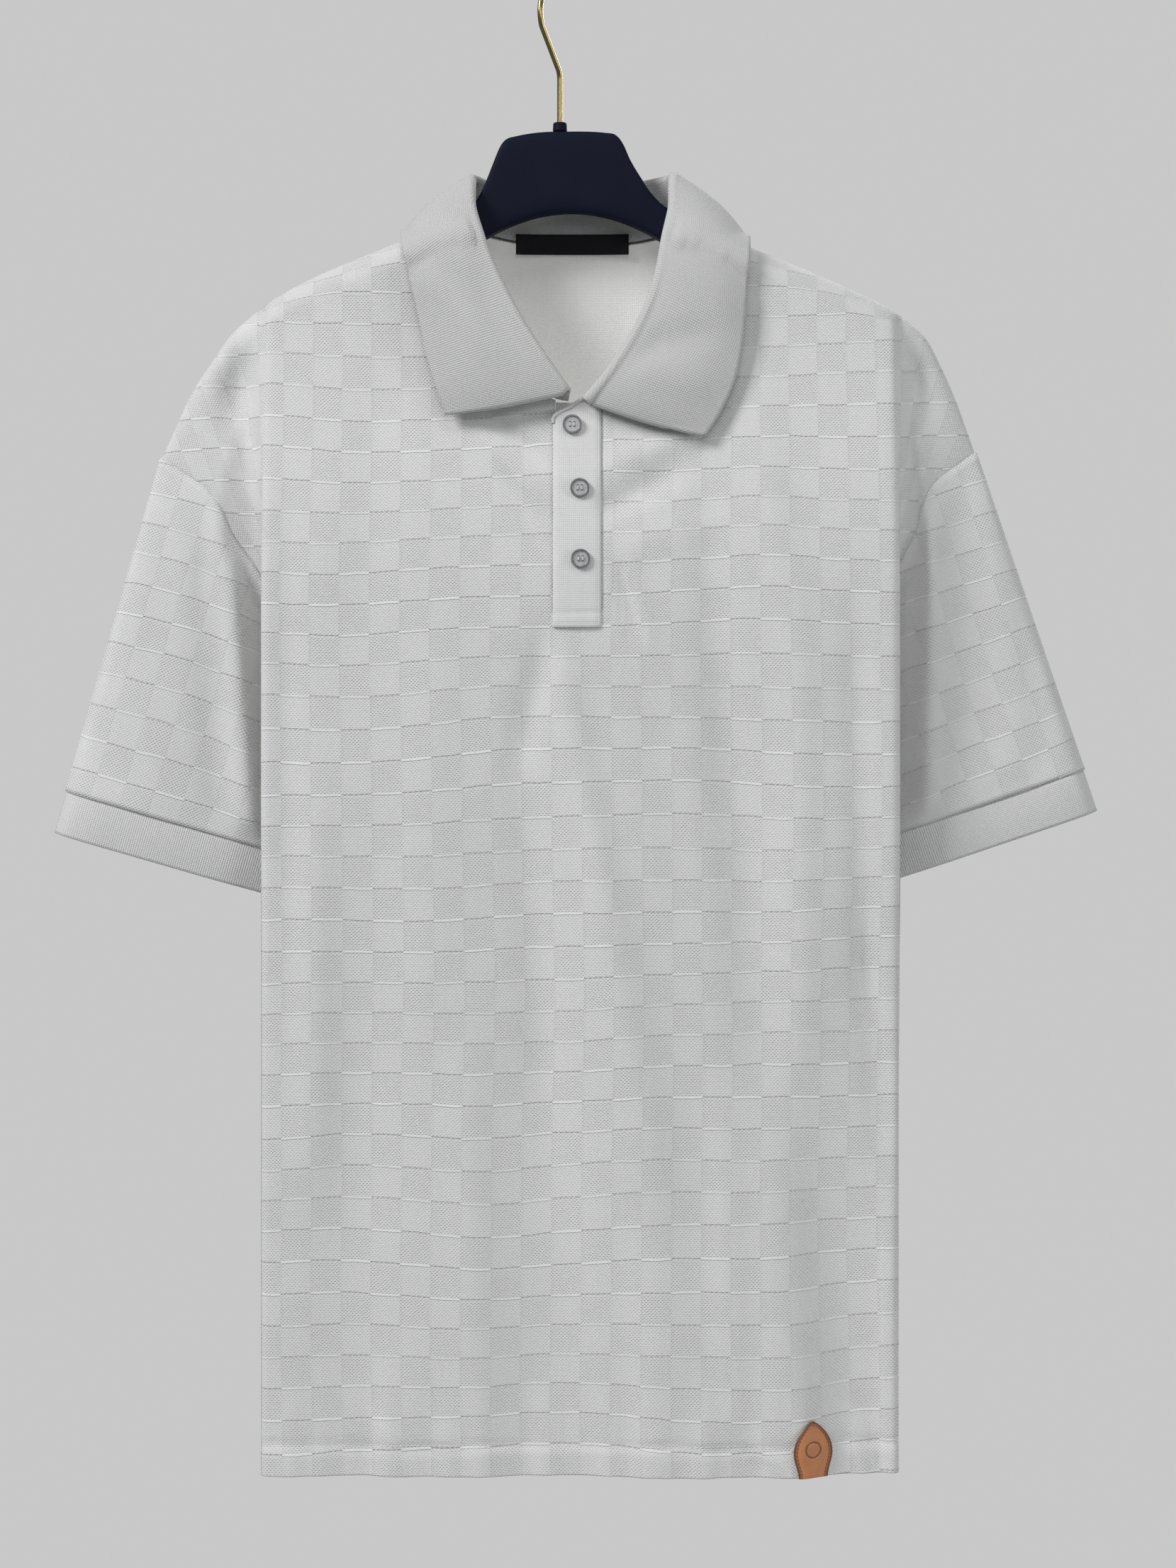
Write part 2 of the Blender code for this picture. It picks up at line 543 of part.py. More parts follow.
def hole_cutter(name):
    bm = bmesh.new()
    for a in (-1, 1):
        for b in (-1, 1):
            made = bmesh.ops.create_cone(bm, cap_ends=True, segments=8, radius1=HOLE_RADIUS,
                                         radius2=HOLE_RADIUS, depth=0.010)
            bmesh.ops.rotate(bm, verts=made["verts"], matrix=QUARTER_TURN)
            bmesh.ops.translate(bm, verts=made["verts"], vec=(a * HOLE_OFF, 0, b * HOLE_OFF))
    mesh = bpy.data.meshes.new(name + "_holes")
    bm.to_mesh(mesh)
    bm.free()
    cutter = bpy.data.objects.new(name + "_holes", mesh)
    cutter.hide_render = True
    cutter.display_type = "WIRE"
    CUTTERS.objects.link(cutter)
    return cutter


def tab_half_width(drop):
    """Half the leather tab's width at a distance below its tip: a pointed arch that narrows
    again towards the hem."""
    wide, waist, shoulder = 0.0119, 0.0089, 0.0185
    if drop < shoulder:
        return max(0.0007, wide * math.sin(math.pi / 2 * (drop / shoulder) ** 0.80))
    return mix(wide, waist, smooth((drop - shoulder) / (TAB_HEIGHT - shoulder)))


def leather_tab(finish):
    def place(column, row):
        drop = TAB_HEIGHT * (row / 12) ** 1.3
        x = TAB_X + mix(-1, 1, column / 4) * tab_half_width(drop)
        return on_front(x, TAB_TOP_Z - drop, TAB_THICK + 4 * SEAM)

    node = add_node("leather_tab", lattice("leather_tab", 5, 13, place), finish)
    return give_wall(node, TAB_THICK)


def neck_label(finish):
    """A woven strip inside the back of the neck, over the collar seam."""
    def place(column, row):
        x = LABEL_X + mix(-LABEL_HALF, LABEL_HALF, column / 6)
        z = LABEL_TOP_Z - LABEL_HEIGHT * row / 3
        depth = panel_depth(BACK, x, top_z(BACK, x))
        return Vector((x, depth - CLOTH - LABEL_THICK - 2 * SEAM, z))

    mesh = lattice("neck_label", 7, 4, place)
    return give_wall(add_node("neck_label", mesh, finish), LABEL_THICK)


def hanger_top(x):
    """Height of the hanger's upper edge, in the hook's frame."""
    if YOKE[0].x < x < YOKE[-1].x:
        return read(YOKE, "x", x).z
    return shoulder_z(x - SHIRT_X) - CLOTH - HANGER_CLEAR


def hanger_body(finish):
    """One moulded piece: a flat yoke that runs out into two rounded arms."""
    around, along = 16, 44
    bm = bmesh.new()
    bmesh.ops.create_uvsphere(bm, u_segments=around, v_segments=along, radius=1)
    for vertex in bm.verts:
        px, py, pz = vertex.co
        travel = math.asin(max(-1, min(1, pz))) / (math.pi / 2)
        offset = HANGER_HALF * math.copysign(abs(travel) ** 1.12, travel)
        x = HANGER_X + offset
        round_end = math.sqrt(max(0.0, 1 - max(0.0, (abs(offset) - HANGER_HALF + 0.012) / 0.012) ** 2))
        outward = smooth((abs(offset) - 0.05) / 0.10)
        half_depth = mix(YOKE_HALF_DEPTH, ARM_HALF_DEPTH, outward) * round_end
        top = hanger_top(x)
        beyond = max(0.0, abs(offset) - ARCH_HALF)
        low = ARCH_TOP_Z - ARCH_RISE * min(1, (abs(offset) / ARCH_HALF) ** 2) - ARM_FALL * beyond
        low = min(low, top - 0.020)
        length = math.hypot(px, py) or 1.0
        square = mix(0.45, 0.85, outward)
        depth = math.copysign(abs(px / length) ** square, px)
        height = math.copysign(abs(py / length) ** square, py)
        if length < 1e-4 or abs(pz) > 0.99999:
            depth = height = 0.0
        vertex.co = (x, half_depth * depth, (top + low) / 2 + (top - low) / 2 * height * round_end)
    bmesh.ops.remove_doubles(bm, verts=bm.verts, dist=WELD)
    bmesh.ops.recalc_face_normals(bm, faces=bm.faces)
    mesh = bpy.data.meshes.new("hanger_body")
    bm.to_mesh(mesh)
    bm.free()
    mesh.shade_smooth()
    return add_node("hanger_body", mesh, finish, x=0)


def hanger_neck(finish):
    bm = bmesh.new()
    bmesh.ops.create_cone(bm, cap_ends=True, segments=20, radius1=NECK_RADIUS,
                          radius2=NECK_RADIUS * 0.93, depth=NECK_TOP_Z - NECK_LOW_Z)
    bmesh.ops.translate(bm, verts=bm.verts, vec=(0, 0, (NECK_TOP_Z + NECK_LOW_Z) / 2))
    mesh = bpy.data.meshes.new("hanger_neck")
    bm.to_mesh(mesh)
    bm.free()
    node = add_node("hanger_neck", mesh, finish, x=0)
    soft = node.modifiers.new("Soft_edge", "BEVEL")
    soft.width = 0.0008
    soft.segments = 2
    return node


def hook_points():
    """The wire's middle line: a straight stem, a slant, and most of a circle."""
    radius = HOOK_RADIUS + WIRE
    centre_z = -HOOK_RADIUS
    flat = [(0, NECK_TOP_Z + SEAM), (0, -0.070), (0, BEND_Z), (-0.0012, BEND_Z + 0.0035)]
    for angle in range(HOOK_FROM, HOOK_TO, -12):
        turn = math.radians(angle)
        flat.append((radius * math.cos(turn), centre_z + radius * math.sin(turn)))
    return [(across * math.cos(HOOK_TURN), across * math.sin(HOOK_TURN), z) for across, z in flat]


def hanger_hook(finish):
    curve = bpy.data.curves.new("hanger_hook", "CURVE")
    curve.dimensions = "3D"
    curve.bevel_depth = WIRE
    curve.bevel_resolution = 2
    curve.use_fill_caps = True
    points = hook_points()
    line = curve.splines.new("POLY")
    line.points.add(len(points) - 1)
    for slot, point in zip(line.points, points):
        slot.co = (*point, 1)
    node = bpy.data.objects.new("hanger_hook", curve)
    curve.materials.append(finish)
    PARTS.objects.link(node)
    return node


for old in list(bpy.data.objects):
    bpy.data.objects.remove(old)
PARTS = bpy.data.collections.new("polo_shirt_on_hanger")
CUTTERS = bpy.data.collections.new("cutters")
for group in (PARTS, CUTTERS):
    bpy.context.scene.collection.children.link(group)
QUARTER_TURN = Matrix(((1, 0, 0), (0, 0, -1), (0, 1, 0)))

KNIT = material("white_knit", (0.80, 0.80, 0.79), 0.9)
RIB = material("white_rib", (0.80, 0.80, 0.79), 0.9)
SHELL = material("grey_button", (0.55, 0.55, 0.55), 0.35)
LEATHER = material("tan_leather", (0.42, 0.19, 0.09), 0.6)
WOVEN = material("black_label", (0.01, 0.01, 0.012), 0.8)
PLASTIC = material("navy_plastic", (0.012, 0.014, 0.022), 0.45)
BRASS = material("brass_wire", (0.62, 0.50, 0.26), 0.3, 1.0)

body_panel("front", FRONT, KNIT)
body_panel("back", BACK, KNIT)
for word, side in (("right", LEFT), ("left", RIGHT)):   # the wearer's right is seen on the left
    sleeve("sleeve_" + word, side, KNIT)
    cuff("cuff_" + word, side, RIB)
collar(RIB)
placket_strip("placket_under", SLIT_LEFT + SEAM, SLIT_RIGHT - SEAM, PLACKET_TOP_Z + 0.004,
              PLACKET_LOW_Z + 0.0092, -0.0006, STRIP_CLOTH - SEAM, KNIT)
placket_strip("placket_over", PLACKET_LEFT, PLACKET_RIGHT, PLACKET_TOP_Z, PLACKET_LOW_Z,
              STRIP_CLOTH + SEAM, STRIP_CLOTH, KNIT)
HOLE_CUTTERS = {name: hole_cutter(name) for name in BUTTONS}
for button_name, (button_x, button_z) in BUTTONS.items():
    button(button_name, button_x, button_z, SHELL)
leather_tab(LEATHER)
neck_label(WOVEN)
hanger_body(PLASTIC)
hanger_neck(PLASTIC)
hanger_hook(BRASS)
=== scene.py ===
"""A white knitted polo shirt hanging on a navy hanger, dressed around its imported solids."""
import math
from collections import namedtuple

import bmesh
import bpy
from mathutils import Matrix, Vector, noise


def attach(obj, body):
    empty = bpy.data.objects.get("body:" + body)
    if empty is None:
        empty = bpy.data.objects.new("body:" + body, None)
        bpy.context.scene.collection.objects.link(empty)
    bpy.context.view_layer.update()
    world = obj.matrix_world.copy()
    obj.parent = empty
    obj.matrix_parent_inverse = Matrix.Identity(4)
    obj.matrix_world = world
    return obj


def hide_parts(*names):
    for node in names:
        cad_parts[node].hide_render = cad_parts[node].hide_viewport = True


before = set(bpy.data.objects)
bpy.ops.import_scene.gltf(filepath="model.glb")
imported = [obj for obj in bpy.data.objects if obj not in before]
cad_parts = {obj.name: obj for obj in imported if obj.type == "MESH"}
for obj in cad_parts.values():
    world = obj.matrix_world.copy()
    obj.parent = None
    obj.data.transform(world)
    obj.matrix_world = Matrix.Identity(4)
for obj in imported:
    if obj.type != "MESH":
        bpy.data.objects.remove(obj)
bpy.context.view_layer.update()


# ---- Studio --------------------------------------------------------------------------------
# The shirt hangs in front of a plain light grey room, with a pale floor well below the hem.
# One broad light stands in front to the left. Weak ones fill in from above, the front and the
# right, and one behind lights the edges, so the folds shade softly.
MM_PER_PIXEL = 0.42                  # at the shirt's front
PICTURE_HIGH = 2212                  # pixels
SENSOR = 36                          # mm
CAMERA_AT = Vector((0.0170, -1.945, -0.4845))
FRONT_PLANE_Y = -0.045
FLOOR_Z, FLOOR_RADIUS = -1.30, 1.05
ROOM_GREY = 0.578                    # the backdrop's linear grey

scene = bpy.context.scene
scene.view_settings.view_transform = "Standard"


def aim(thing, target):
    thing.rotation_euler = (Vector(target) - thing.location).to_track_quat("-Z", "Y").to_euler()


def area_light(name, place, target, wide, high, watts):
    lamp = bpy.data.lights.new(name, "AREA")
    lamp.shape = "RECTANGLE"
    lamp.size, lamp.size_y = wide, high
    lamp.energy = watts
    made = bpy.data.objects.new(name, lamp)
    made.location = place
    scene.collection.objects.link(made)
    aim(made, target)


camera = bpy.data.objects.new("camera", bpy.data.cameras.new("camera"))
camera.location = CAMERA_AT
camera.rotation_euler = (math.pi / 2, 0, 0)
camera.data.sensor_width = SENSOR
camera.data.lens = SENSOR * (FRONT_PLANE_Y - CAMERA_AT.y) / (PICTURE_HIGH * MM_PER_PIXEL / 1000)
scene.collection.objects.link(camera)
scene.camera = camera

area_light("key", (-2.8, -2.0, 1.9), (0, 0, -0.5), 1.4, 1.4, 116)
area_light("top", (0.3, -1.5, 1.9), (0, 0, -0.40), 1.4, 0.9, 10)
area_light("front", (0.1, -2.3, 0.35), (0, 0, -0.35), 0.9, 0.7, 6)
area_light("side", (2.9, -1.3, 0.0), (0, 0, -0.5), 1.2, 1.6, 23)
area_light("behind", (1.2, 3.0, 1.4), (0, 0, -0.5), 1.8, 1.8, 70)

room = bpy.data.worlds.new("room")
room.use_nodes = True
scene.world = room
room_nodes, room_links = room.node_tree.nodes, room.node_tree.links
seen = room_nodes.new("ShaderNodeBackground")
seen.inputs["Color"].default_value = (ROOM_GREY, ROOM_GREY, ROOM_GREY, 1)
soft = room_nodes["Background"]
soft.inputs["Color"].default_value = (0.93, 0.96, 1, 1)
soft.inputs["Strength"].default_value = 0.16
which = room_nodes.new("ShaderNodeMixShader")
rays = room_nodes.new("ShaderNodeLightPath")
room_links.new(rays.outputs["Is Camera Ray"], which.inputs["Fac"])
room_links.new(soft.outputs[0], which.inputs[1])
room_links.new(seen.outputs[0], which.inputs[2])
room_links.new(which.outputs[0], room_nodes["World Output"].inputs["Surface"])

floor_mesh = bmesh.new()
bmesh.ops.create_circle(floor_mesh, cap_ends=True, segments=96, radius=FLOOR_RADIUS)
bmesh.ops.translate(floor_mesh, verts=floor_mesh.verts, vec=(0, 0, FLOOR_Z))
floor = bpy.data.objects.new("floor", bpy.data.meshes.new("floor"))
floor_mesh.to_mesh(floor.data)
floor_mesh.free()
scene.collection.objects.link(floor)
floor_paint = bpy.data.materials.new("floor_paint")
floor_paint.use_nodes = True
floor_shader = floor_paint.node_tree.nodes["Principled BSDF"]
floor_shader.inputs["Base Color"].default_value = (0.62, 0.62, 0.62, 1)
floor_shader.inputs["Roughness"].default_value = 0.9
floor.data.materials.append(floor_paint)


# ---- Body cloth: front and back --------------------------------------------------------------
# Each is one panel of jacquard pique knit, checked tone on tone, sewn at the shoulders,
# armholes and sides. The front drapes forward over the hanger and turns back at a pressed fold
# on each side, and a pleat runs from the fold to the side seam. Both hems are turned up once.
SHIRT_X = 0.0126
HEM_Z = -0.895
HEM_HEIGHT, HEM_LIFT, HEM_DENT = 0.018, 0.0010, 0.0013
HALF_WIDE = 0.190
FOLD_RADIUS = 0.006
CLOTH = 0.0014
SEAM = 0.0003
MIDDLE_GAP = 0.00025
SHOULDER_DEPTH, BODY_DEPTH = 0.027, 0.045
HANG_FROM_Z, HANG_RUN = -0.190, 0.180
ROLL_HEIGHT = 0.020
ROLL_SPARE = 0.017                   # cloth that the roll takes beyond its height
NECK_X, NECK_HALF = -0.005, 0.074
FRONT_NECK_DROP, BACK_NECK_DROP = 0.114, 0.012
FRONT, BACK = -1, 1
LEFT, RIGHT = -1, 1
SIDES = (("right", LEFT), ("left", RIGHT))   # the wearer's right is on the picture's left


def in_metres(kind, rows):
    """A table's rows, which are written in millimetres."""
    return [kind(*(value / 1000 for value in row)) for row in rows]


Outline = namedtuple("Outline", "x z")
SHOULDER = {
    LEFT: in_metres(Outline, [
        (77, -142), (109, -156), (163.5, -179), (187, -192), (200.5, -202), (213.8, -214.6),
        (222.9, -227.9), (234.9, -246), (254.3, -288)]),
    RIGHT: in_metres(Outline, [
        (69, -144), (104, -160), (155, -181.5), (187, -197), (200, -206), (210, -216),
        (218.3, -231.8), (226.5, -250), (239.2, -284.6)]),
}
Edge = namedtuple("Edge", "share x depth z")
SIDE_EDGE = [Edge(*row) for row in [
    (0, 0.2543, 0, -0.288), (0.0008, 0.2539, 0.003, -0.2883), (0.0035, 0.2527, 0.006, -0.289),
    (0.009, 0.2495, 0.0082, -0.2912), (0.02, 0.2425, 0.0106, -0.296),
    (0.05, 0.224, 0.0165, -0.3086), (0.068, 0.217, 0.0195, -0.318),
    (0.095, 0.2105, 0.0175, -0.334), (0.135, 0.195, 0.0125, -0.356),
    (0.195, 0.174, 0.0075, -0.398), (0.27, 0.153, 0.0006, -0.455), (0.35, 0.143, 0.0004, -0.51),
    (0.45, 0.137, 0.0004, -0.575), (0.65, 0.135, 0.0004, -0.7), (1, 0.135, 0.0004, HEM_Z)]]
ARMPIT = 0.270                       # the share of the side edge that the sleeve takes
RIGHT_ARM_IN, RIGHT_ARM_UP = 0.0151, 0.0034
PLEAT_HOLLOW, HOLLOW_AT, HOLLOW_WIDE = 0.013, 0.30, 0.26

# The large folds that hang from the chest, as the solids have them.
Fold = namedtuple("Fold", "x_high z_high x_low z_low half_width rise")
FOLDS = {
    FRONT: in_metres(Fold, [
        (-128, -480, -138, -960, 26, -5), (-36, -430, -12, -940, 30, -6.2),
        (-16, -400, 56, -900, 28, 5.2), (66, -330, 166, -880, 26, -8),
        (116, -440, 126, -900, 20, 4.8)]),
    BACK: in_metres(Fold, [
        (-110, -300, -120, -980, 30, -5.5), (-20, -260, -30, -960, 34, 5),
        (60, -320, 85, -960, 30, -6), (128, -420, 140, -940, 24, 4.2)]),
}
# Smaller creases, listed one by one: each runs between two points and fades out at both ends.
Crease = namedtuple("Crease", "x_from z_from x_to z_to half_width rise")
CREASES = {
    FRONT: in_metres(Crease, [
        (-157, -500, -158, -720, 12, 3.2), (-176, -330, -172, -620, 9, -2.3),
        (-20, -392, -36, -470, 9, -3.5), (-36, -450, -20, -700, 13, -3.2),
        (-14, -405, 16, -560, 10, 3.8), (12, -540, 46, -730, 14, 3.2),
        (21, -352, 33, -398, 4, -2.9), (27, -348, 42, -400, 4.5, 1.7),
        (72, -300, 90, -480, 12, -3.2), (88, -460, 112, -680, 16, -3.5),
        (129, -400, 132, -640, 12, 3.2), (163, -390, 170, -600, 9, -4.3),
        (168, -570, 182, -700, 9, -3.8), (172, -600, 184, -905, 34, -10),
        (184, -760, 185, -905, 6, 3), (90.7, -866, 107.5, -895.5, 4, -1.8),
        (101.2, -872, 122.2, -895.5, 4, 1.8), (166.3, -848, 180, -895.5, 6, -2.4),
        (157.9, -860, 170, -895.5, 4.5, 1.8), (-120, -862, -104, -895.5, 5, 1.4),
        (44, -868, 52, -895.5, 4.5, 1.4), (-62, -258, -22, -292, 6, -2.9),
        (-58, -278, -22, -318, 6, 2.3), (-44, -300, -20, -345, 5.5, -2),
        (60, -296, 14, -322, 8.5, -3.8), (72, -272, 16, -296, 8, 2.3),
        (80, -330, 26, -345, 8, 1.4), (104, -250, 128, -420, 14, 2.3),
        (-120, -220, -128, -400, 16, -2), (-88, -400, -92, -640, 18, 2),
        (40, -420, 62, -560, 12, -1.7), (-68, -640, -60, -900, 14, 2.6),
        (86, -700, 92, -905, 10, 2.6), (22, -740, 28, -905, 11, -2.3)]),
    BACK: in_metres(Crease, [
        (-60, -200, -70, -420, 14, -2.6), (30, -210, 26, -460, 14, 2.6),
        (-150, -300, -160, -640, 11, 2.9), (-172, -420, -166, -760, 8, -3.2),
        (158, -290, 166, -560, 10, -3.5), (100, -500, 112, -760, 14, 3.5),
        (-74, -560, -66, -800, 13, -3.2), (6, -620, 16, -905, 14, 3.2),
        (48, -760, 52, -905, 9, -2.3), (-130, -740, -134, -905, 9, 2.6),
        (-98, -230, -40, -250, 10, 1.7), (104, -236, 50, -262, 10, 1.7)]),
}
UNEVEN_BROAD, UNEVEN_FINE = 0.0011, 0.0004
Wave = namedtuple("Wave", "long start height")
HEM_WAVES = [Wave(0.031, 0.9, 0.0007), Wave(0.047, 2.4, 0.0010), Wave(0.019, 4.1, 0.0004)]
HEM_WAVES_HIGH = 0.085


def smooth(share):
    share = min(1.0, max(0.0, share))
    return share * share * (3 - 2 * share)


def mix(a, b, share):
    return a + (b - a) * share


def bump(distance, half_width):
    return math.exp(-(distance / half_width) ** 2)


def read(rows, key, at):
    """The row of a table at a value of one column, on a smooth curve through its rows."""
    keys = [getattr(row, key) for row in rows]
    at = min(max(at, keys[0]), keys[-1])
    i = max(k for k in range(len(rows) - 1) if keys[k] <= at or k == 0)
    span = keys[i + 1] - keys[i]
    t = (at - keys[i]) / span
    values = []
    for name in rows[0]._fields:
        here, there = getattr(rows[i], name), getattr(rows[i + 1], name)
        slope_in = slope_out = (there - here) / span
        if i > 0:
            before = (here - getattr(rows[i - 1], name)) / (keys[i] - keys[i - 1])
            slope_in = (before + slope_in) / 2 if before * slope_in > 0 else 0.0
        if i + 2 < len(rows):
            after = (getattr(rows[i + 2], name) - there) / (keys[i + 2] - keys[i + 1])
            slope_out = (after + slope_out) / 2 if after * slope_out > 0 else 0.0
        values.append((1 - t) ** 2 * ((1 + 2 * t) * here + t * span * slope_in)
                      + t ** 2 * ((3 - 2 * t) * there - (1 - t) * span * slope_out))
    return type(rows[0])(*values)


def shoulder_z(x):
    left, right = SHOULDER[LEFT][0], SHOULDER[RIGHT][0]
    if -left.x < x < right.x:
        return mix(left.z, right.z, (x + left.x) / (left.x + right.x))
    return read(SHOULDER[LEFT if x < 0 else RIGHT], "x", abs(x)).z


def hang_depth(z):
    return mix(SHOULDER_DEPTH, BODY_DEPTH, smooth((HANG_FROM_Z - z) / HANG_RUN))


def creased(creases, x, z):
    """How far the small creases lift or sink the cloth at one place."""
    total = 0.0
    for crease in creases:
        run_x, run_z = crease.x_to - crease.x_from, crease.z_to - crease.z_from
        long = math.hypot(run_x, run_z)
        along = ((x - crease.x_from) * run_x + (z - crease.z_from) * run_z) / long ** 2
        if -0.3 < along < 1.3:
            off = abs((x - crease.x_from) * run_z - (z - crease.z_from) * run_x) / long
            if off < 3 * crease.half_width:
                fade = smooth((along + 0.25) / 0.5) * smooth((1.25 - along) / 0.5)
                total += crease.rise * bump(off, crease.half_width) * fade
    return total


def uneven(x, z, face):
    """The knit never lies quite flat."""
    here = Vector((x * 11, z * 7, face * 5.0))
    return UNEVEN_BROAD * noise.noise(here) + UNEVEN_FINE * noise.noise(here * 3.7)


def relief(face, x, z):
    total = 0.0
    for fold in FOLDS[face]:
        share = (fold.z_high - z) / (fold.z_high - fold.z_low)
        middle = mix(fold.x_high, fold.x_low, max(share, 0.0))
        total += fold.rise * bump(x - middle, fold.half_width) * smooth(share / 0.45)
    loose = smooth((shoulder_z(x) - z - 0.010) / 0.050)
    total += loose * (creased(CREASES[face], x, z) + uneven(x, z, face))
    near_hem = smooth((HEM_Z + HEM_WAVES_HIGH - z) / HEM_WAVES_HIGH)
    for long, start, height in HEM_WAVES:
        total += height * near_hem * math.sin(x * 2 * math.pi / long + start * face)
    return total


def neck_drop(face, x):
    across = min(1.0, abs(x - NECK_X) / NECK_HALF)
    return (FRONT_NECK_DROP if face == FRONT else BACK_NECK_DROP) * (1 - across ** 2.2)


def panel_depth(face, x, z):
    roll = max(0.0, 1 - max(0.0, shoulder_z(x) - z) / ROLL_HEIGHT)
    deep = hang_depth(z) + relief(face, x, z)
    turned = max(0.0, abs(x) - HALF_WIDE + FOLD_RADIUS)
    deep -= FOLD_RADIUS - math.sqrt(max(0.0, FOLD_RADIUS ** 2 - turned ** 2))
    return MIDDLE_GAP + deep * math.sqrt(1 - roll * roll)


def body_point(face, x, z):
    return Vector((x, face * panel_depth(face, x, z), z))


def on_front(x, z, lift):
    return body_point(FRONT, x, z) + Vector((0, -lift, 0))


def edge_point(face, side, share):
    edge = read(SIDE_EDGE, "share", share)
    moved = 1 - smooth(share / 0.20) if side == RIGHT else 0.0
    return Vector((side * (edge.x - RIGHT_ARM_IN * moved), face * (MIDDLE_GAP + edge.depth),
                   edge.z + RIGHT_ARM_UP * moved))


def outline_point(side, share):
    rows = SHOULDER[side]
    x = mix(HALF_WIDE, rows[-1].x, 1 - (1 - share) ** 1.35)
    return Vector((side * x, 0.0, read(rows, "x", x).z))


def strip_point(face, side, across, share):
    """A point of the pleat between the side fold and the sewn edge."""
    top = shoulder_z(side * HALF_WIDE)
    fold = body_point(face, side * HALF_WIDE, mix(top, HEM_Z, share))
    sewn = edge_point(face, side, share)
    point = fold.lerp(sewn, across)
    straight = body_point(face, side * HALF_WIDE, top).lerp(edge_point(face, side, 0), across)
    bowed = outline_point(side, across) - straight
    bowed.y = 0
    point += bowed * (1 - smooth(share / 0.16))
    hollow = PLEAT_HOLLOW * bump(across - HOLLOW_AT, HOLLOW_WIDE) * smooth(share / 0.05)
    hollow *= smooth((abs(sewn.x) - HALF_WIDE - 0.004) / 0.030) * (1 - abs(across - 0.5) ** 3 * 8)
    hollow += uneven(point.x * 2, point.z, face) * smooth(across * 4) * smooth((1 - across) * 4)
    point.y -= face * hollow
    return point


# The columns round the neck leave its corners at a slant, so they spread out further down.
Column = namedtuple("Column", "at_top lower")
SLIT_LEFT, SLIT_RIGHT, SLIT_SHARE = -0.0150, 0.0110, 0.202
SIDE_COLUMNS = [Column(x, x) for x in (0.190, 0.1885, 0.184, 0.172, 0.144, 0.130)]
NECK_LEFT = in_metres(Column, [
    (-116, -119), (-101, -109), (-88, -101), (-79, -94)])
NECK_RIGHT = in_metres(Column, [
    (69, 84), (79, 91.5), (94, 101), (112, 114)])
MIDDLE = {
    FRONT: NECK_LEFT + in_metres(Column, [
        (-78.6, -88.5), (-77.8, -83), (-76.2, -78.5), (-73.1, -74), (-66, -66), (-57, -57),
        (-46, -46), (-35, -35), (-25, -25), (-15, -15), (11, 11), (23, 23), (35, 35), (46, 46),
        (56, 56), (63.1, 64), (66.2, 68.5), (67.8, 73), (68.6, 78.5)]) + NECK_RIGHT,
    BACK: NECK_LEFT + in_metres(Column, [
        (-77.6, -86), (-73.1, -78), (-62, -64), (-44, -44), (-25, -25), (-5, -5), (15, 15),
        (34, 34), (52, 54), (63.1, 68), (67.6, 76)]) + NECK_RIGHT,
}
WELD = 1e-6
ROW_STEP, ROW_GROWTH = 0.0008, 0.0048     # shares of the length: at the shoulder, and added below
HEM_ROWS = 0.0012                    # the rows on each side of the hem's line, as a share
KNIT_STEP = 0.0042                   # the mesh's spacing on the body cloth
PLEAT_COLUMNS = 17
SIDE_LONG = 0.72                     # a side fold, from the shoulder to the hem


def fill_between(column_table):
    """The table's columns with evenly spaced ones between them."""
    filled = []
    for here, there in zip(column_table, column_table[1:]):
        steps = max(1, math.ceil(abs(there.lower - here.lower) / KNIT_STEP))
        for i in range(steps):
            filled.append(Column(*(mix(a, b, i / steps) for a, b in zip(here, there))))
    return filled + [column_table[-1]]


def body_rows():
    rows, share = [], 0.0
    turn_up = 1 - HEM_HEIGHT / SIDE_LONG
    for stop in (SLIT_SHARE, turn_up - HEM_ROWS, turn_up + HEM_ROWS, 1.0):
        while share < stop - ROW_STEP:
            rows.append(share)
            share += ROW_STEP + ROW_GROWTH * smooth(share / 0.05)
        share = stop
    return rows + [1.0]


def finished(name, shape):
    """The object of a finished mesh."""
    made = bpy.data.objects.new(name, bpy.data.meshes.new(name))
    shape.to_mesh(made.data)
    shape.free()
    made.data.shade_smooth()
    scene.collection.objects.link(made)
    return made


def sheet_object(name, columns, rows, place, drop=None, closed=False, turned=False):
    """A grid of cloth whose points and place on the flat cloth come from a function."""
    grid = bmesh.new()
    bmesh.ops.create_grid(grid, x_segments=columns - 1, y_segments=rows - 1, size=1)
    flat = grid.loops.layers.uv.new("cloth")
    spots = {vertex: (round((vertex.co.x + 1) / 2 * (columns - 1)),
                      round((1 - vertex.co.y) / 2 * (rows - 1))) for vertex in grid.verts}
    if drop:
        gone = [face for face in grid.faces
                if drop(*(sum(spots[v][i] for v in face.verts) / 4 for i in (0, 1)))]
        bmesh.ops.delete(grid, geom=gone, context="FACES")
    placed = {vertex: place(*spots[vertex]) for vertex in grid.verts}
    for face in grid.faces:
        for loop in face.loops:
            loop[flat].uv = placed[loop.vert][1]
    for vertex, (point, _) in placed.items():
        vertex.co = point + Vector((SHIRT_X, 0, 0))
    if closed:
        bmesh.ops.remove_doubles(grid, verts=grid.verts, dist=WELD)
    if turned:
        bmesh.ops.reverse_faces(grid, faces=grid.faces)
    return finished(name, grid)


def thicken(made, wall, inner_slot=0, outwards=False):
    solid = made.modifiers.new("Wall", "SOLIDIFY")
    solid.material_offset = inner_slot
    solid.thickness = wall
    solid.offset = 1 if outwards else -1
    return made


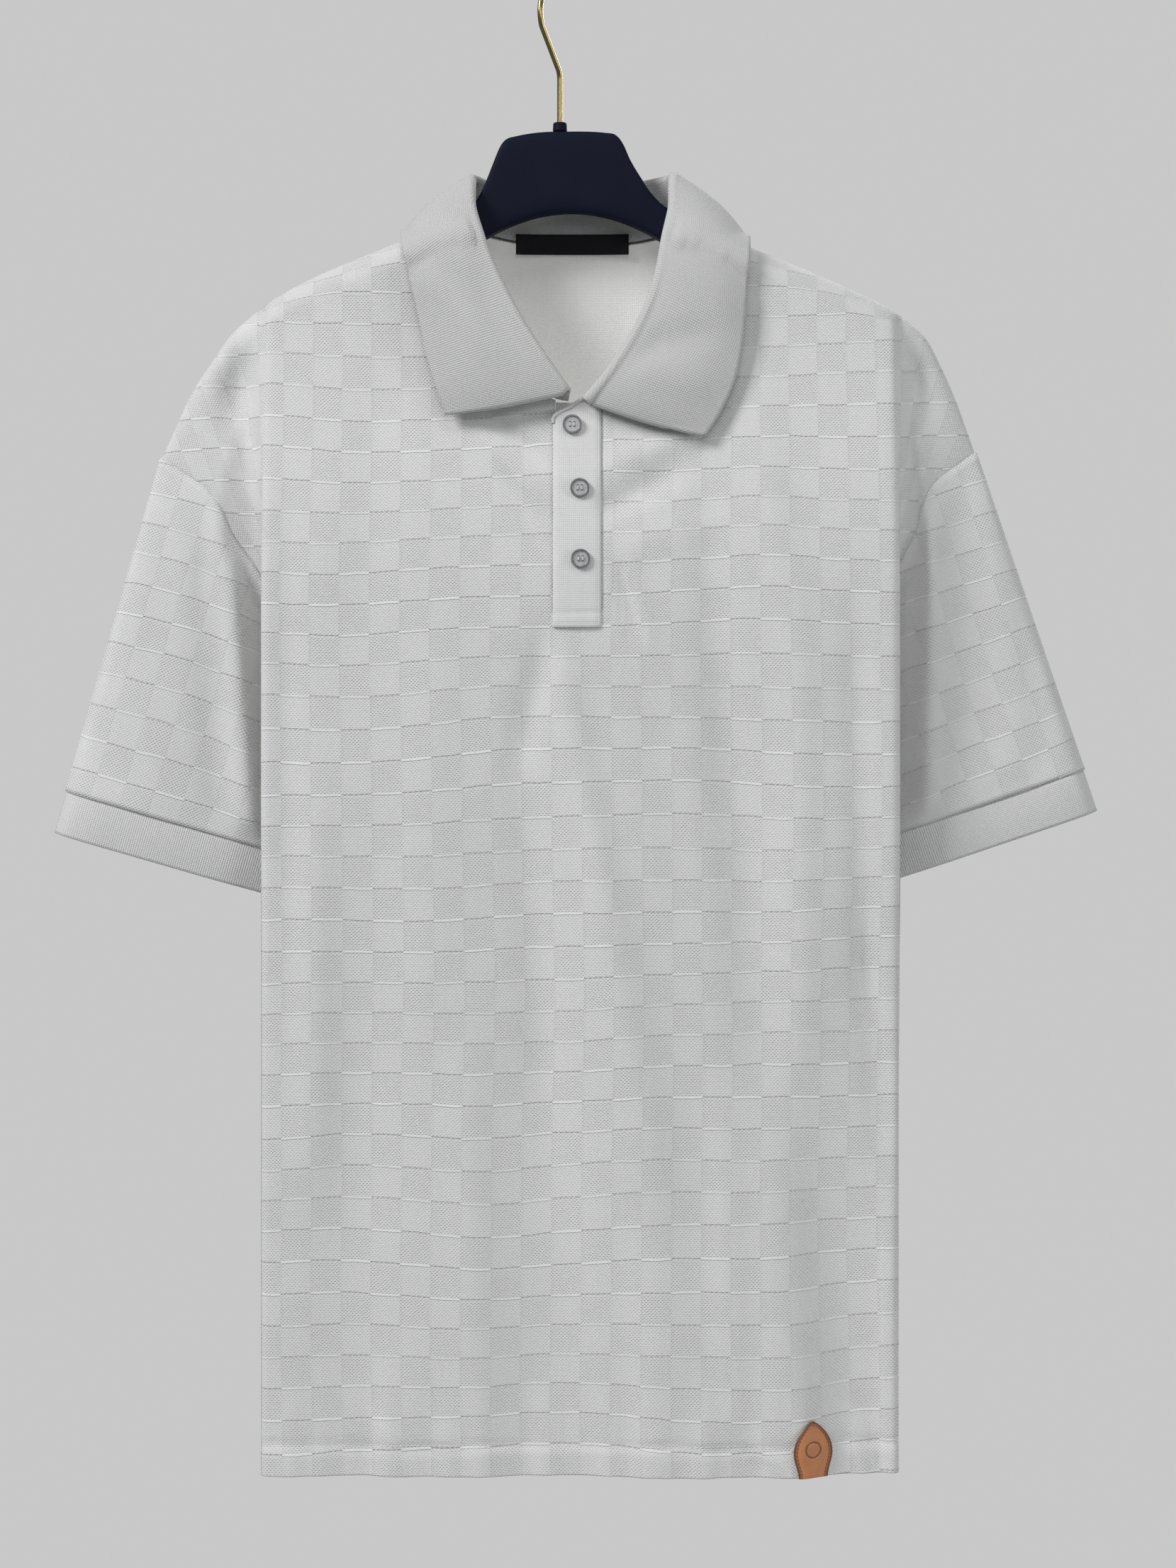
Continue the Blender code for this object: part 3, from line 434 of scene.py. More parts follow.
def body_cloth(name, face):
    middle = fill_between(MIDDLE[face])
    mirrored = [Column(-c.at_top, -c.lower) for c in SIDE_COLUMNS]
    low_side = fill_between(mirrored + middle[:1])[:-1]
    high_side = fill_between(middle[-1:] + SIDE_COLUMNS[::-1])[1:]
    columns = [(LEFT, 1 - i / PLEAT_COLUMNS) for i in range(PLEAT_COLUMNS)]
    columns += [(0, c) for c in low_side + middle + high_side]
    columns += [(RIGHT, (i + 1) / PLEAT_COLUMNS) for i in range(PLEAT_COLUMNS)]
    rows = body_rows()
    first, last = 0, 0
    if face == FRONT:
        first, last = (columns.index((0, Column(x, x))) for x in (SLIT_LEFT, SLIT_RIGHT))
    low_row = rows.index(SLIT_SHARE)

    def place(column, row):
        side, value = columns[column]
        share = rows[row]
        if side:
            point = strip_point(face, side, value, share)
            fold = strip_point(face, side, 0, share)
            across = HALF_WIDE + (point - fold).length
            on_cloth = (side * across, point.z)
        else:
            x = mix(value.at_top, value.lower, min(1.0, share / 0.05) ** 0.35)
            drop = neck_drop(face, value.at_top)
            point = body_point(face, x, mix(shoulder_z(x) - drop, HEM_Z, share))
            rolled = max(0.0, 1 - (shoulder_z(x) - point.z) / ROLL_HEIGHT)
            on_cloth = (x, point.z + ROLL_SPARE * rolled ** 1.5)
        below = HEM_Z + HEM_HEIGHT - point.z
        point.y += face * (HEM_LIFT * smooth(below / 0.004) - HEM_DENT * bump(below, 0.0012))
        return point, on_cloth

    def slit(column, row):
        return first < column < last and row < low_row

    made = sheet_object(name, len(columns), len(rows), place, drop=slit if face == FRONT else None,
                        turned=face == BACK)
    return thicken(made, CLOTH, inner_slot=1)


# The check: two knit structures in alternate blocks. One is an open pique that reads as rows of
# small pits, the other a closer one, lighter because its shallower pits carry less painted shade,
# and a course of long stitches ends each block. The white knit's tone is painted shade in the pits,
# grooves and joins, and a painted highlight on the ridges.
BLOCK_WIDE, BLOCK_HIGH = 0.0177, 0.0187
PIT_WIDE, PIT_HIGH = 0.00212, 0.0021
WHITE, MATT = (0.800, 0.800, 0.792), 0.92
# The knits' tints run from a dark end, painted shade in their hollows, to KNIT_LIGHT.
KNIT_DARK, KNIT_LIGHT = (0.56, 0.56, 0.545), (0.865, 0.865, 0.86)


class Recipe:
    """A material, with its nodes written as sums."""

    def __init__(self, name, color, rough):
        self.material = bpy.data.materials.new(name)
        self.material.use_nodes = True
        self.tree = self.material.node_tree
        self.shader = self.tree.nodes["Principled BSDF"]
        self.shader.inputs["Base Color"].default_value = (*color, 1)
        self.shader.inputs["Roughness"].default_value = rough

    def node(self, kind, **settings):
        made = self.tree.nodes.new(kind)
        for key, value in settings.items():
            setattr(made, key, value)
        return made

    def feed(self, socket, value):
        if hasattr(value, "is_output"):
            self.tree.links.new(value, socket)
        else:
            socket.default_value = value

    def sum(self, operation, a, b=0.0, c=0.0):
        made = self.node("ShaderNodeMath", operation=operation)
        for socket, value in zip(made.inputs, (a, b, c)):
            self.feed(socket, value)
        return made.outputs[0]

    def times(self, first, *others):
        for value in others:
            first = self.sum("MULTIPLY", first, value)
        return first

    def blend(self, start, *parts):
        """The start plus each part times its weight."""
        for part, weight in parts:
            start = self.sum("MULTIPLY_ADD", part, weight, start)
        return start

    def less(self, value):
        return self.sum("SUBTRACT", 1.0, value)

    def ramp(self, value, low, high):
        made = self.node("ShaderNodeMapRange", interpolation_type="SMOOTHSTEP")
        for key, setting in (("Value", value), ("From Min", low), ("From Max", high)):
            self.feed(made.inputs[key], setting)
        return made.outputs[0]

    def line(self, value, at, inner, outer):
        """1 where the value is at a number, and 0 beyond the outer distance from it."""
        off = self.sum("ABSOLUTE", self.sum("SUBTRACT", value, at))
        return self.less(self.ramp(off, inner, outer))

    def speckle(self, scale, amount, detail=1.0):
        """An unevenness about zero."""
        return self.times(self.sum("SUBTRACT", self.noise(scale, detail), 0.5), amount)

    def from_axis(self, x, z):
        """The distance from a level line that runs front to back."""
        spot = self.node("ShaderNodeVectorMath", operation="MULTIPLY")
        self.feed(spot.inputs[0], self.place())
        self.feed(spot.inputs[1], (1, 0, 1))
        apart = self.node("ShaderNodeVectorMath", operation="DISTANCE")
        self.feed(apart.inputs[0], spot.outputs[0])
        self.feed(apart.inputs[1], (x, 0, z))
        return apart.outputs["Value"]

    def flat(self):
        """Across and down on the flat cloth, in metres."""
        spot = self.node("ShaderNodeSeparateXYZ")
        self.feed(spot.inputs[0], self.node("ShaderNodeUVMap", uv_map="cloth").outputs[0])
        return spot.outputs[0], spot.outputs[1]

    def place(self):
        return self.node("ShaderNodeTexCoord").outputs["Object"]

    def noise(self, scale, detail=1.0):
        made = self.node("ShaderNodeTexNoise")
        self.feed(made.inputs["Scale"], scale)
        self.feed(made.inputs["Detail"], detail)
        self.feed(made.inputs["Vector"], self.place())
        return made.outputs["Fac"]

    def tint(self, factor, low, high):
        """The base colour, from one to the other as factor goes from 0 to 1."""
        made = self.node("ShaderNodeMix", data_type="RGBA")
        self.feed(made.inputs["Factor"], factor)
        self.feed(made.inputs["A"], (*low, 1))
        self.feed(made.inputs["B"], (*high, 1))
        self.feed(self.shader.inputs["Base Color"], made.outputs["Result"])

    def relief(self, height, distance):
        made = self.node("ShaderNodeBump")
        self.feed(made.inputs["Height"], height)
        made.inputs["Distance"].default_value = distance
        self.feed(self.shader.inputs["Normal"], made.outputs[0])

    def soft(self):
        """A knit's finish: a faint sheen and little gloss."""
        self.shader.inputs["Sheen Weight"].default_value = 0.12
        self.shader.inputs["Sheen Roughness"].default_value = 0.6
        self.shader.inputs["Specular IOR Level"].default_value = 0.2
        return self.material


def wave(recipe, value, length, shift=0.0):
    """0 to 1 and back once every length."""
    turns = recipe.blend(shift, (value, 2 * math.pi / length))
    return recipe.blend(0.5, (recipe.sum("SINE", turns), 0.5))


def checked_knit():
    knit = Recipe("checked_pique", WHITE, MATT)
    across, down = knit.flat()
    # the courses wander, and they slope a little across the shirt
    down = knit.blend(down, (knit.speckle(55.0, 0.0018, 2.0), 1.0), (knit.speckle(5.5, 0.022), 1.0),
                      (across, -0.018))
    across = knit.sum("ADD", across, knit.speckle(4.0, 0.010))
    block_x = knit.sum("DIVIDE", across, BLOCK_WIDE)
    block_y = knit.sum("DIVIDE", down, BLOCK_HIGH)
    parity = knit.sum("ADD", knit.sum("FLOOR", block_x), knit.sum("FLOOR", block_y))
    open_block = knit.sum("PINGPONG", parity, 1.0)          # 1 where the pits are open
    height_in = knit.sum("FRACT", block_y)                  # 0 at a block's foot, 1 at its top
    side_in = knit.sum("FRACT", block_x)
    # pits, staggered course by course; their darker tone below is painted shade
    course = knit.sum("FLOOR", knit.sum("DIVIDE", down, PIT_HIGH / 2))
    stagger = knit.times(knit.sum("PINGPONG", course, 1.0), math.pi)
    pitted = knit.times(wave(knit, across, PIT_WIDE, stagger), wave(knit, down, PIT_HIGH / 2),
                        knit.blend(0.66, (open_block, 0.34)))
    # the course of long stitches over each block, and the ribbed join between blocks
    top_line = knit.times(knit.ramp(height_in, 0.90, 0.945),
                          knit.less(knit.ramp(height_in, 0.965, 1.0)))
    scallop = knit.blend(0.4, (wave(knit, across, PIT_WIDE * 1.5), 0.6))
    dark_line = knit.times(top_line, scallop, open_block)
    light_line = knit.times(top_line, knit.less(open_block))
    join = knit.times(knit.line(side_in, 0.04, 0.01, 0.05), wave(knit, down, 0.0016))
    # The tone: painted shade in the pits, the long stitches' groove and the joins, and a painted
    # highlight on their ridge.
    shade = knit.blend(0.80, (pitted, -0.40), (open_block, 0.010), (dark_line, -0.36),
                       (light_line, 0.24), (join, -0.14), (knit.speckle(900.0, 0.16), 1.0))
    knit.tint(shade, (0.53, 0.53, 0.515), KNIT_LIGHT)
    knit.relief(knit.blend(0.0, (pitted, -1.0), (light_line, 0.9), (dark_line, -1.1),
                           (open_block, -0.07)), 0.00032)
    return knit.soft()


def plain_knit(name, low, high):
    """Plain pique, for the placket and the reverse of the checked knit."""
    knit = Recipe(name, WHITE, MATT)
    across, down = knit.flat()
    stitch = knit.times(wave(knit, across, 0.0012), wave(knit, down, 0.0011))
    # The stitches' tops are lighter and the gaps between them darker: painted shade between the
    # stitches.
    knit.tint(knit.blend(0.68, (stitch, 0.22), (knit.speckle(1000.0, 0.20), 1.0)), low, high)
    knit.relief(stitch, 0.00018)
    return knit.soft()


plain = plain_knit("plain_pique", KNIT_DARK, KNIT_LIGHT)
# The reverse is the same white knit tinted lighter: painted light on the shirt's inner side.
reverse = plain_knit("reverse_pique", (0.74, 0.74, 0.715), (0.95, 0.95, 0.935))
# The inner side glows faintly: painted light that stands in for light coming through the thin knit,
# so its inner side is never quite dark.
painted_glow = reverse.node_tree.nodes["Principled BSDF"].inputs
painted_glow["Emission Color"].default_value = (1.0, 1.0, 0.98, 1.0)
painted_glow["Emission Strength"].default_value = 0.09


def dress(made, paint, slot, *nodes, inside=None):
    """Gives a piece its material and body, and hides the solids that it stands for. The slot is not
    used.
    """
    made.data.materials.append(paint)
    if inside:
        made.data.materials.append(inside)
    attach(made, "root")
    if nodes:
        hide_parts(*nodes)
    return made


check = checked_knit()
front = dress(body_cloth("front_cloth", FRONT), check, "knit", "front", inside=reverse)
back = dress(body_cloth("back_cloth", BACK), check, "knit", "back", inside=reverse)


# ---- Sleeves ---------------------------------------------------------------------------------
# Each is one panel of the same checked knit, sewn into the dropped armhole and closed under the
# arm. It hangs flattened, its check square to the cuff, and its inner part is tucked into the
# pleat under the arm.
Cuff = namedtuple("Cuff", "outer_x outer_z inner_x inner_z")
CUFF_SEAM = {LEFT: Cuff(0.3115, -0.4890, 0.1650, -0.5310),
             RIGHT: Cuff(0.3045, -0.4760, 0.1650, -0.5230)}
SLEEVE_HALF_THICK = 0.0135
SLEEVE_AROUND, SLEEVE_LONG = 120, 64
TUCK = 0.0010                        # the sleeve's edge runs this far under the armhole seam
Thick = namedtuple("Thick", "across share")
SLEEVE_PROFILE = [Thick(*row) for row in [
    (0, 0), (0.03, 0.5), (0.1, 0.85), (0.25, 1), (0.5, 1.05), (0.72, 1), (0.82, 0.72),
    (0.92, 0.42), (1, 0)]]
SLEEVE_CREASES = {
    LEFT: in_metres(Crease, [
        (-212, -330, -198, -540, 7.5, 3), (-228, -350, -216, -540, 10, -2.4),
        (-268, -430, -246, -540, 12, 1.8), (-300, -430, -276, -500, 8, -1.4),
        (-252, -310, -226, -400, 10, 1.4)]),
    RIGHT: in_metres(Crease, [
        (206, -330, 204, -530, 8.5, 2.6), (224, -330, 222, -530, 11, -2.6),
        (244, -300, 262, -480, 12, 1.8), (268, -400, 286, -500, 9, -1.2)]),
}


# The front of each sleeve turns inwards along a ridge near the body.
Ridge = namedtuple("Ridge", "x_high slant drop run crest")
RIDGE = {LEFT: Ridge(0.2113, 0.0778, 0.0078, 0.0075, 0.0022),
         RIGHT: Ridge(0.2120, 0.0100, 0.0060, 0.0120, 0.0016)}
RIDGE_TOP_Z = -0.320


def ridge_lift(side, x, z):
    ridge = RIDGE[side]
    inside = ridge.x_high + (z - RIDGE_TOP_Z) * ridge.slant - abs(x)
    return ridge.crest * bump(inside, 0.008) - ridge.drop * smooth(inside / ridge.run)


def sleeve_line(side, turn):
    """Both ends of the line that runs down a sleeve at one place round it, from -1 under the arm
    over the front, the outer fold and the back to 1 under the arm again."""
    face = FRONT if turn < 0 else BACK
    share = abs(turn)
    top = edge_point(face, side, ARMPIT * share ** 2.2)
    cuff = CUFF_SEAM[side]
    profile = read(SLEEVE_PROFILE, "across", (1 - math.cos(math.pi * share)) / 2)
    end = Vector((side * mix(cuff.outer_x, cuff.inner_x, profile.across),
                  face * SLEEVE_HALF_THICK * profile.share,
                  mix(cuff.outer_z, cuff.inner_z, profile.across)))
    return top - (end - top).normalized() * TUCK, end


def cuff_axes(side):
    """The cuff seam's outer end, its direction inwards, and the direction down the sleeve."""
    cuff = CUFF_SEAM[side]
    outer = Vector((side * cuff.outer_x, 0, cuff.outer_z))
    inwards = (Vector((side * cuff.inner_x, 0, cuff.inner_z)) - outer).normalized()
    downwards = Vector((side * (cuff.outer_z - cuff.inner_z), 0, cuff.inner_x - cuff.outer_x))
    return outer, inwards, downwards.normalized()


def away_from_folds(turn):
    """0 at a sleeve's outer fold and under the arm, and 1 between them."""
    return smooth(abs(turn) * 7) * smooth((1 - abs(turn)) * 5)


def sleeve_cloth(name, side):
    outer, inwards, downwards = cuff_axes(side)

    def place(column, row):
        turn = 2 * column / SLEEVE_AROUND - 1
        face = FRONT if turn < 0 else BACK
        top, end = sleeve_line(side, turn)
        share = (row / (SLEEVE_LONG - 1)) ** 0.9
        point = top.lerp(end, share)
        loose = smooth(share * 6) * smooth((1 - share) * 9) * away_from_folds(turn)
        x, z = point.x, point.z
        lift = creased(SLEEVE_CREASES[side], x, z) + 1.4 * uneven(x, z, face + side)
        lift += ridge_lift(side, x, z)
        point.y -= face * 0.0006 * (1 - smooth(share * 12))
        point.y += face * loose * lift
        across = (point - outer).dot(inwards)
        return point, (face * across, -(point - outer).dot(downwards))

    made = sheet_object(name, SLEEVE_AROUND + 1, SLEEVE_LONG, place, closed=True,
                        turned=side == LEFT)
    return thicken(made, CLOTH, inner_slot=1, outwards=True)


for word, side in SIDES:
    sleeve = dress(sleeve_cloth("sleeve_cloth_" + word, side), check, "knit", "sleeve_" + word,
                   inside=reverse)


# ---- Cuffs and collar ------------------------------------------------------------------------
# Both are knitted to shape as plain rib bands. A cuff is sewn round the sleeve's end, and the
# collar is one band sewn round the neck and folded over, with a soft roll and long points.
CUFF_HEIGHT, CUFF_INSET, CUFF_CLOTH = 0.0260, 0.0014, 0.0018
COLLAR_CLOTH, COLLAR_ROLL, COLLAR_LIFT = 0.0016, 0.0022, 0.0034
SHOULDER_SHARE = 0.42
RIB_WALE, RIB_COURSE = 0.00135, 0.0011
CUFF_ROWS = 14


def rib_knit(name, wale, course, light):
    """Plain rib: wales run one way, and the courses cross them as fine bars."""
    rib = Recipe(name, WHITE, MATT)
    across, down = rib.flat()
    wales = wave(rib, across, wale)
    stitch = rib.times(wales, wave(rib, down, course))
    low, high = ([light * value for value in color] for color in (KNIT_DARK, KNIT_LIGHT))
    # The stitches' tops are lighter and the gaps between them darker: painted shade between the
    # ribs.
    rib.tint(rib.blend(0.62, (stitch, 0.30), (rib.speckle(1100.0, 0.22), 1.0)), low, high)
    rib.relief(rib.blend(stitch, (wales, 0.5)), 0.00022)
    return rib.soft()


cuff_rib = rib_knit("cuff_rib", RIB_WALE, RIB_COURSE, 0.95)
# The collar's rib is the cuffs' rib tinted darker: painted shade over the whole collar.
collar_rib = rib_knit("collar_rib", RIB_COURSE, RIB_WALE, 0.80)


def cuff_band(name, side):
    outer, inwards, downwards = cuff_axes(side)
    cuff = CUFF_SEAM[side]
    middle = Vector((side * (cuff.outer_x + cuff.inner_x), 0, cuff.outer_z + cuff.inner_z)) / 2

    def place(column, row):
        turn = 2 * column / SLEEVE_AROUND - 1
        face = FRONT if turn < 0 else BACK
        end = sleeve_line(side, turn)[1]
        inward = middle - end
        inward.y = -end.y * 6
        share = row / (CUFF_ROWS - 1)
        point = end + inward.normalized() * CUFF_INSET + downwards * mix(SEAM, CUFF_HEIGHT, share)
        lift = 0.0008 * math.sin(math.pi * share) + 0.8 * uneven(point.x, point.z, side)
        point.y += face * away_from_folds(turn) * lift
        return point, (face * (point - outer).dot(inwards), (point - outer).dot(downwards))

    made = sheet_object(name, SLEEVE_AROUND + 1, CUFF_ROWS, place, closed=True,
                        turned=side == LEFT)
    return thicken(made, CUFF_CLOTH, outwards=True)


for word, side in SIDES:
    band = dress(cuff_band("cuff_band_" + word, side), cuff_rib, "rib", "cuff_" + word)

Section = namedtuple("Section", "share seam fold_x fold_y fold_z edge_x edge_y edge_z")
COLLAR = [Section(*row) for row in [
    (-1, -0.99, -0.0065, -0.0395, -0.25, -0.0802, -0.04, -0.2655),
    (-0.9, -0.89, -0.019, -0.0385, -0.2325, -0.0852, -0.039, -0.2505),
    (-0.8, -0.786, -0.0335, -0.036, -0.21, -0.0915, -0.037, -0.229),
    (-0.7, -0.693, -0.047, -0.032, -0.185, -0.0965, -0.035, -0.205),
    (-0.6, -0.595, -0.058, -0.026, -0.16, -0.1015, -0.033, -0.184),
    (-0.5, -0.49, -0.064, -0.015, -0.136, -0.107, -0.024, -0.163),
    (-0.4, -0.42, -0.064, -0.001, -0.1185, -0.108, 0.002, -0.153),
    (-0.28, -0.23, -0.053, 0.016, -0.118, -0.095, 0.03, -0.164),
    (-0.14, -0.105, -0.029, 0.0245, -0.12, -0.048, 0.0345, -0.174),
    (0, 0, -0.005, 0.026, -0.121, -0.005, 0.0345, -0.176),
    (0.14, 0.1, 0.019, 0.0245, -0.1195, 0.04, 0.0345, -0.174),
    (0.28, 0.225, 0.042, 0.016, -0.1165, 0.085, 0.03, -0.165),
    (0.4, 0.42, 0.0535, -0.001, -0.1165, 0.1015, 0.002, -0.156),
    (0.5, 0.485, 0.0535, -0.015, -0.136, 0.101, -0.024, -0.167),
    (0.6, 0.595, 0.049, -0.026, -0.162, 0.0985, -0.033, -0.193),
    (0.7, 0.69, 0.0425, -0.032, -0.188, 0.0965, -0.035, -0.217),
    (0.8, 0.783, 0.031, -0.036, -0.214, 0.0925, -0.037, -0.241),
    (0.9, 0.88, 0.016, -0.039, -0.2375, 0.084, -0.039, -0.262),
    (1, 0.974, 0.0015, -0.0405, -0.2555, 0.0739, -0.041, -0.2785)]]
COLLAR_STEPS, STAND_STEPS, ROLL_STEPS, LEAF_STEPS = 150, 8, 8, 26
LEAF_BULGE = 0.004
LEAF_CREASES = in_metres(Crease, [
    (-92, -165, -30, -224, 9, -2.2), (-86, -185, -46, -232, 8, 1),
    (-70, -150, -60, -240, 10, 0.8), (22, -226, 80, -216, 10, -2), (30, -240, 78, -246, 10, 1.2),
    (88, -160, 84, -220, 12, 1)])


def neck_seam(share):
    side = LEFT if share < 0 else RIGHT
    turn = abs(share)
    face = FRONT if turn > SHOULDER_SHARE else BACK
    span = 1 - SHOULDER_SHARE if face == FRONT else SHOULDER_SHARE
    x = NECK_X + side * NECK_HALF * (1 - (abs(turn - SHOULDER_SHARE) / span) ** 2)
    return body_point(face, x, shoulder_z(x) - neck_drop(face, x))


def clear_of_shirt(point, lift):
    """Moves a point out until it is at least lift off the shirt's shoulders, front and back."""
    x, y, z = point
    centre = shoulder_z(x) - ROLL_HEIGHT
    if z < centre:
        face = FRONT if y < 0 else BACK
        return Vector((x, face * max(abs(y), panel_depth(face, x, z) + lift), z))
    reach = math.hypot(y / SHOULDER_DEPTH, (z - centre) / ROLL_HEIGHT)
    wanted = 1 + lift / ROLL_HEIGHT
    if reach >= wanted or reach < 1e-6:
        return point
    grow = wanted / reach
    return Vector((x, y * grow, centre + (z - centre) * grow))


def collar_line(share):
    """From the neck seam up the stand, over the roll and down the leaf to its edge."""
    row = read(COLLAR, "share", share)
    fold, edge = Vector(row[2:5]), Vector(row[5:8])
    seam = neck_seam(row.seam)
    ahead, behind = (read(COLLAR, "share", share + step) for step in (0.02, -0.02))
    tangent = Vector(ahead[2:5]) - Vector(behind[2:5])
    rise = (fold - seam).normalized()
    out = rise.cross(tangent).normalized()
    seam += rise * (SEAM + 0.0006)
    centre = fold - rise * COLLAR_ROLL + out * COLLAR_ROLL
    points = [seam.lerp(centre - out * COLLAR_ROLL, s / STAND_STEPS) for s in range(STAND_STEPS)]
    for s in range(ROLL_STEPS):
        turn = math.pi * (1 - s / ROLL_STEPS)
        points.append(centre + COLLAR_ROLL * (out * math.cos(turn) + rise * math.sin(turn)))
    start = centre + out * COLLAR_ROLL
    face = FRONT if abs(share) > SHOULDER_SHARE else BACK
    for s in range(LEAF_STEPS + 1):
        t = s / LEAF_STEPS
        point = start.lerp(edge, t) + out * LEAF_BULGE * math.sin(math.pi * t)
        if t > 0.1:
            point = clear_of_shirt(point, COLLAR_LIFT + COLLAR_CLOTH)
        if face == FRONT:
            lift = creased(LEAF_CREASES, point.x, point.z) + 0.9 * uneven(point.x, point.z, 3)
            point.y -= lift * smooth(t * 5) * smooth((abs(share) - SHOULDER_SHARE) * 8)
        points.append(point)
    return points


lines = [collar_line(mix(-1, 1, i / COLLAR_STEPS)) for i in range(COLLAR_STEPS + 1)]
COLLAR_ACROSS, COLLAR_DOWN = 0.420, 0.080


def collar_place(column, row):
    down = sum((lines[column][i + 1] - lines[column][i]).length for i in range(row))
    return lines[column][row], (COLLAR_ACROSS * column / COLLAR_STEPS, down)


collar = sheet_object("collar_band", COLLAR_STEPS + 1, len(lines[0]), collar_place)
dress(thicken(collar, COLLAR_CLOTH), collar_rib, "rib", "collar")


# ---- Placket ---------------------------------------------------------------------------------
# A strip of plain pique on each side of the cut, closed one over the other. The upper strip is
# free along its left edge and stitched down on the right, and a stitched box closes the foot.
PLACKET_LEFT, PLACKET_RIGHT = -0.0164, 0.0122
PLACKET_TOP_Z, PLACKET_LOW_Z = -0.2610, -0.3915
OVER_TOP_Z, OVER_SLANT = -0.2655, 0.57      # the upper strip's top edge rises to the right
STRIP_CLOTH = 0.0012
BOX_HIGH, SEWN_IN = 0.0085, 0.0018
EDGE_SUNK, BOX_SUNK, FOOT_SUNK, THREAD_SUNK, FACE_UP = 0.0009, 0.0006, 0.0004, 0.0003, 0.0004


def strip(name, left, right, top_z, low_z, lift, wall, slant=0.0, stitched=False):
    columns, rows = 25, 97

    def place(column, row):
        x = mix(left, right, column / (columns - 1))
        z = mix(top_z + slant * (x - left), low_z, row / (rows - 1))
        rise = lift
        if stitched:
            from_left, from_right, from_foot = x - left, right - x, z - low_z
            rise -= EDGE_SUNK * (1 - smooth(from_right / 0.0030))
            rise -= THREAD_SUNK * bump(from_right - SEWN_IN, 0.0007)
            rise -= BOX_SUNK * bump(from_foot - BOX_HIGH, 0.0008)
            rise -= FOOT_SUNK * bump(from_foot - 0.0015, 0.0008)
            rise += FACE_UP * smooth(from_left / 0.003)
            rise -= FACE_UP * smooth(from_foot / 0.010) * bump(from_left, 0.002)
        return on_front(x, z, rise), (x, z)

    return thicken(sheet_object(name, columns, rows, place), wall)


under = strip("placket_under_cloth", SLIT_LEFT + SEAM, SLIT_RIGHT - SEAM, PLACKET_TOP_Z + 0.004,
              PLACKET_LOW_Z + 0.0092, -0.0006, STRIP_CLOTH - SEAM)
dress(under, plain, "knit", "placket_under")
over = strip("placket_over_cloth", PLACKET_LEFT, PLACKET_RIGHT, OVER_TOP_Z, PLACKET_LOW_Z,
             STRIP_CLOTH + SEAM, STRIP_CLOTH, slant=OVER_SLANT, stitched=True)
dress(over, plain, "knit", "placket_over")


# ---- Armhole seams, stitching and placket top -------------------------------------------------
# Each armhole is an overlocked seam that stands up as a soft roll of the knit. The hem, the
# placket and its foot are stitched in white thread, and the placket's top edge is rolled over.
SEAM_ROLL, LIP_ROLL = 0.0012, 0.0012
THREAD = 0.00022
STITCH, STITCH_GAP = 0.0024, 0.0009


def soft_knit():
    knit = Recipe("rolled_knit", WHITE, MATT)
    grain = knit.noise(1300.0)
    knit.tint(grain, (0.58, 0.58, 0.565), (0.83, 0.83, 0.825))
    knit.relief(grain, 0.00022)
    knit.shader.inputs["Specular IOR Level"].default_value = 0.2
    return knit.material


def tube(name, points, radius, paint, slot, round_steps=4):
    curve = bpy.data.curves.new(name, "CURVE")
    curve.dimensions = "3D"
    curve.bevel_depth = radius
    curve.bevel_resolution = round_steps
    curve.use_fill_caps = True
    line = curve.splines.new("POLY")
    line.points.add(len(points) - 1)
    for bend, point in zip(line.points, points):
        bend.co = (*point, 1)
    made = bpy.data.objects.new(name, curve)
    scene.collection.objects.link(made)
    return dress(made, paint, slot)


def in_frame(point):
    return point + Vector((SHIRT_X, 0, 0))


rolled = soft_knit()
ARMHOLE_STEPS = 60
for word, side in SIDES:
    path = []
    for i in range(-ARMHOLE_STEPS, ARMHOLE_STEPS + 1):
        face = FRONT if i < 0 else BACK
        share = ARMPIT * (abs(i) / ARMHOLE_STEPS) ** 1.6
        sunk = Vector((0, -face * 0.0006, 0)) if i else Vector((-side * 0.0004, 0, 0))
        path.append(in_frame(edge_point(face, side, share) + sunk))
    tube("armhole_seam_" + word, path, SEAM_ROLL, rolled, "knit")

lip = [(PLACKET_LEFT + 0.0002, OVER_TOP_Z - 0.0040, 0.0009),
       (PLACKET_LEFT, OVER_TOP_Z - 0.0012, 0.0014)]
for i in range(13):
    x = mix(PLACKET_LEFT + 0.0010, 0.0070, i / 12)
    lip.append((x, OVER_TOP_Z + OVER_SLANT * (x - PLACKET_LEFT) + 0.0004 * math.sin(i), 0.0019))
tube("placket_lip", [in_frame(on_front(*spot)) for spot in lip], LIP_ROLL, rolled, "knit")


def sewn_row(threads, points, outward, stitch, gap):
    """Stitches laid along a line of points, each a short swell of thread."""
    left = 0.0
    for here, there in zip(points, points[1:]):
        run = there - here
        while left < run.length:
            middle = here + run.normalized() * left + outward * THREAD * 0.4
            turn = run.to_track_quat("X", "Z").to_matrix().to_4x4()
            size = Matrix.Diagonal((stitch / 2, THREAD, THREAD, 1))
            bmesh.ops.create_uvsphere(threads, u_segments=6, v_segments=5, radius=1,
                                      matrix=Matrix.Translation(middle) @ turn @ size)
            left += stitch + gap
        left -= run.length


def sewing(name, rows, outward, paint, slot, stitch=STITCH, gap=STITCH_GAP):
    threads = bmesh.new()
    for points in rows:
        sewn_row(threads, points, outward, stitch, gap)
    dress(finished(name, threads), paint, slot)


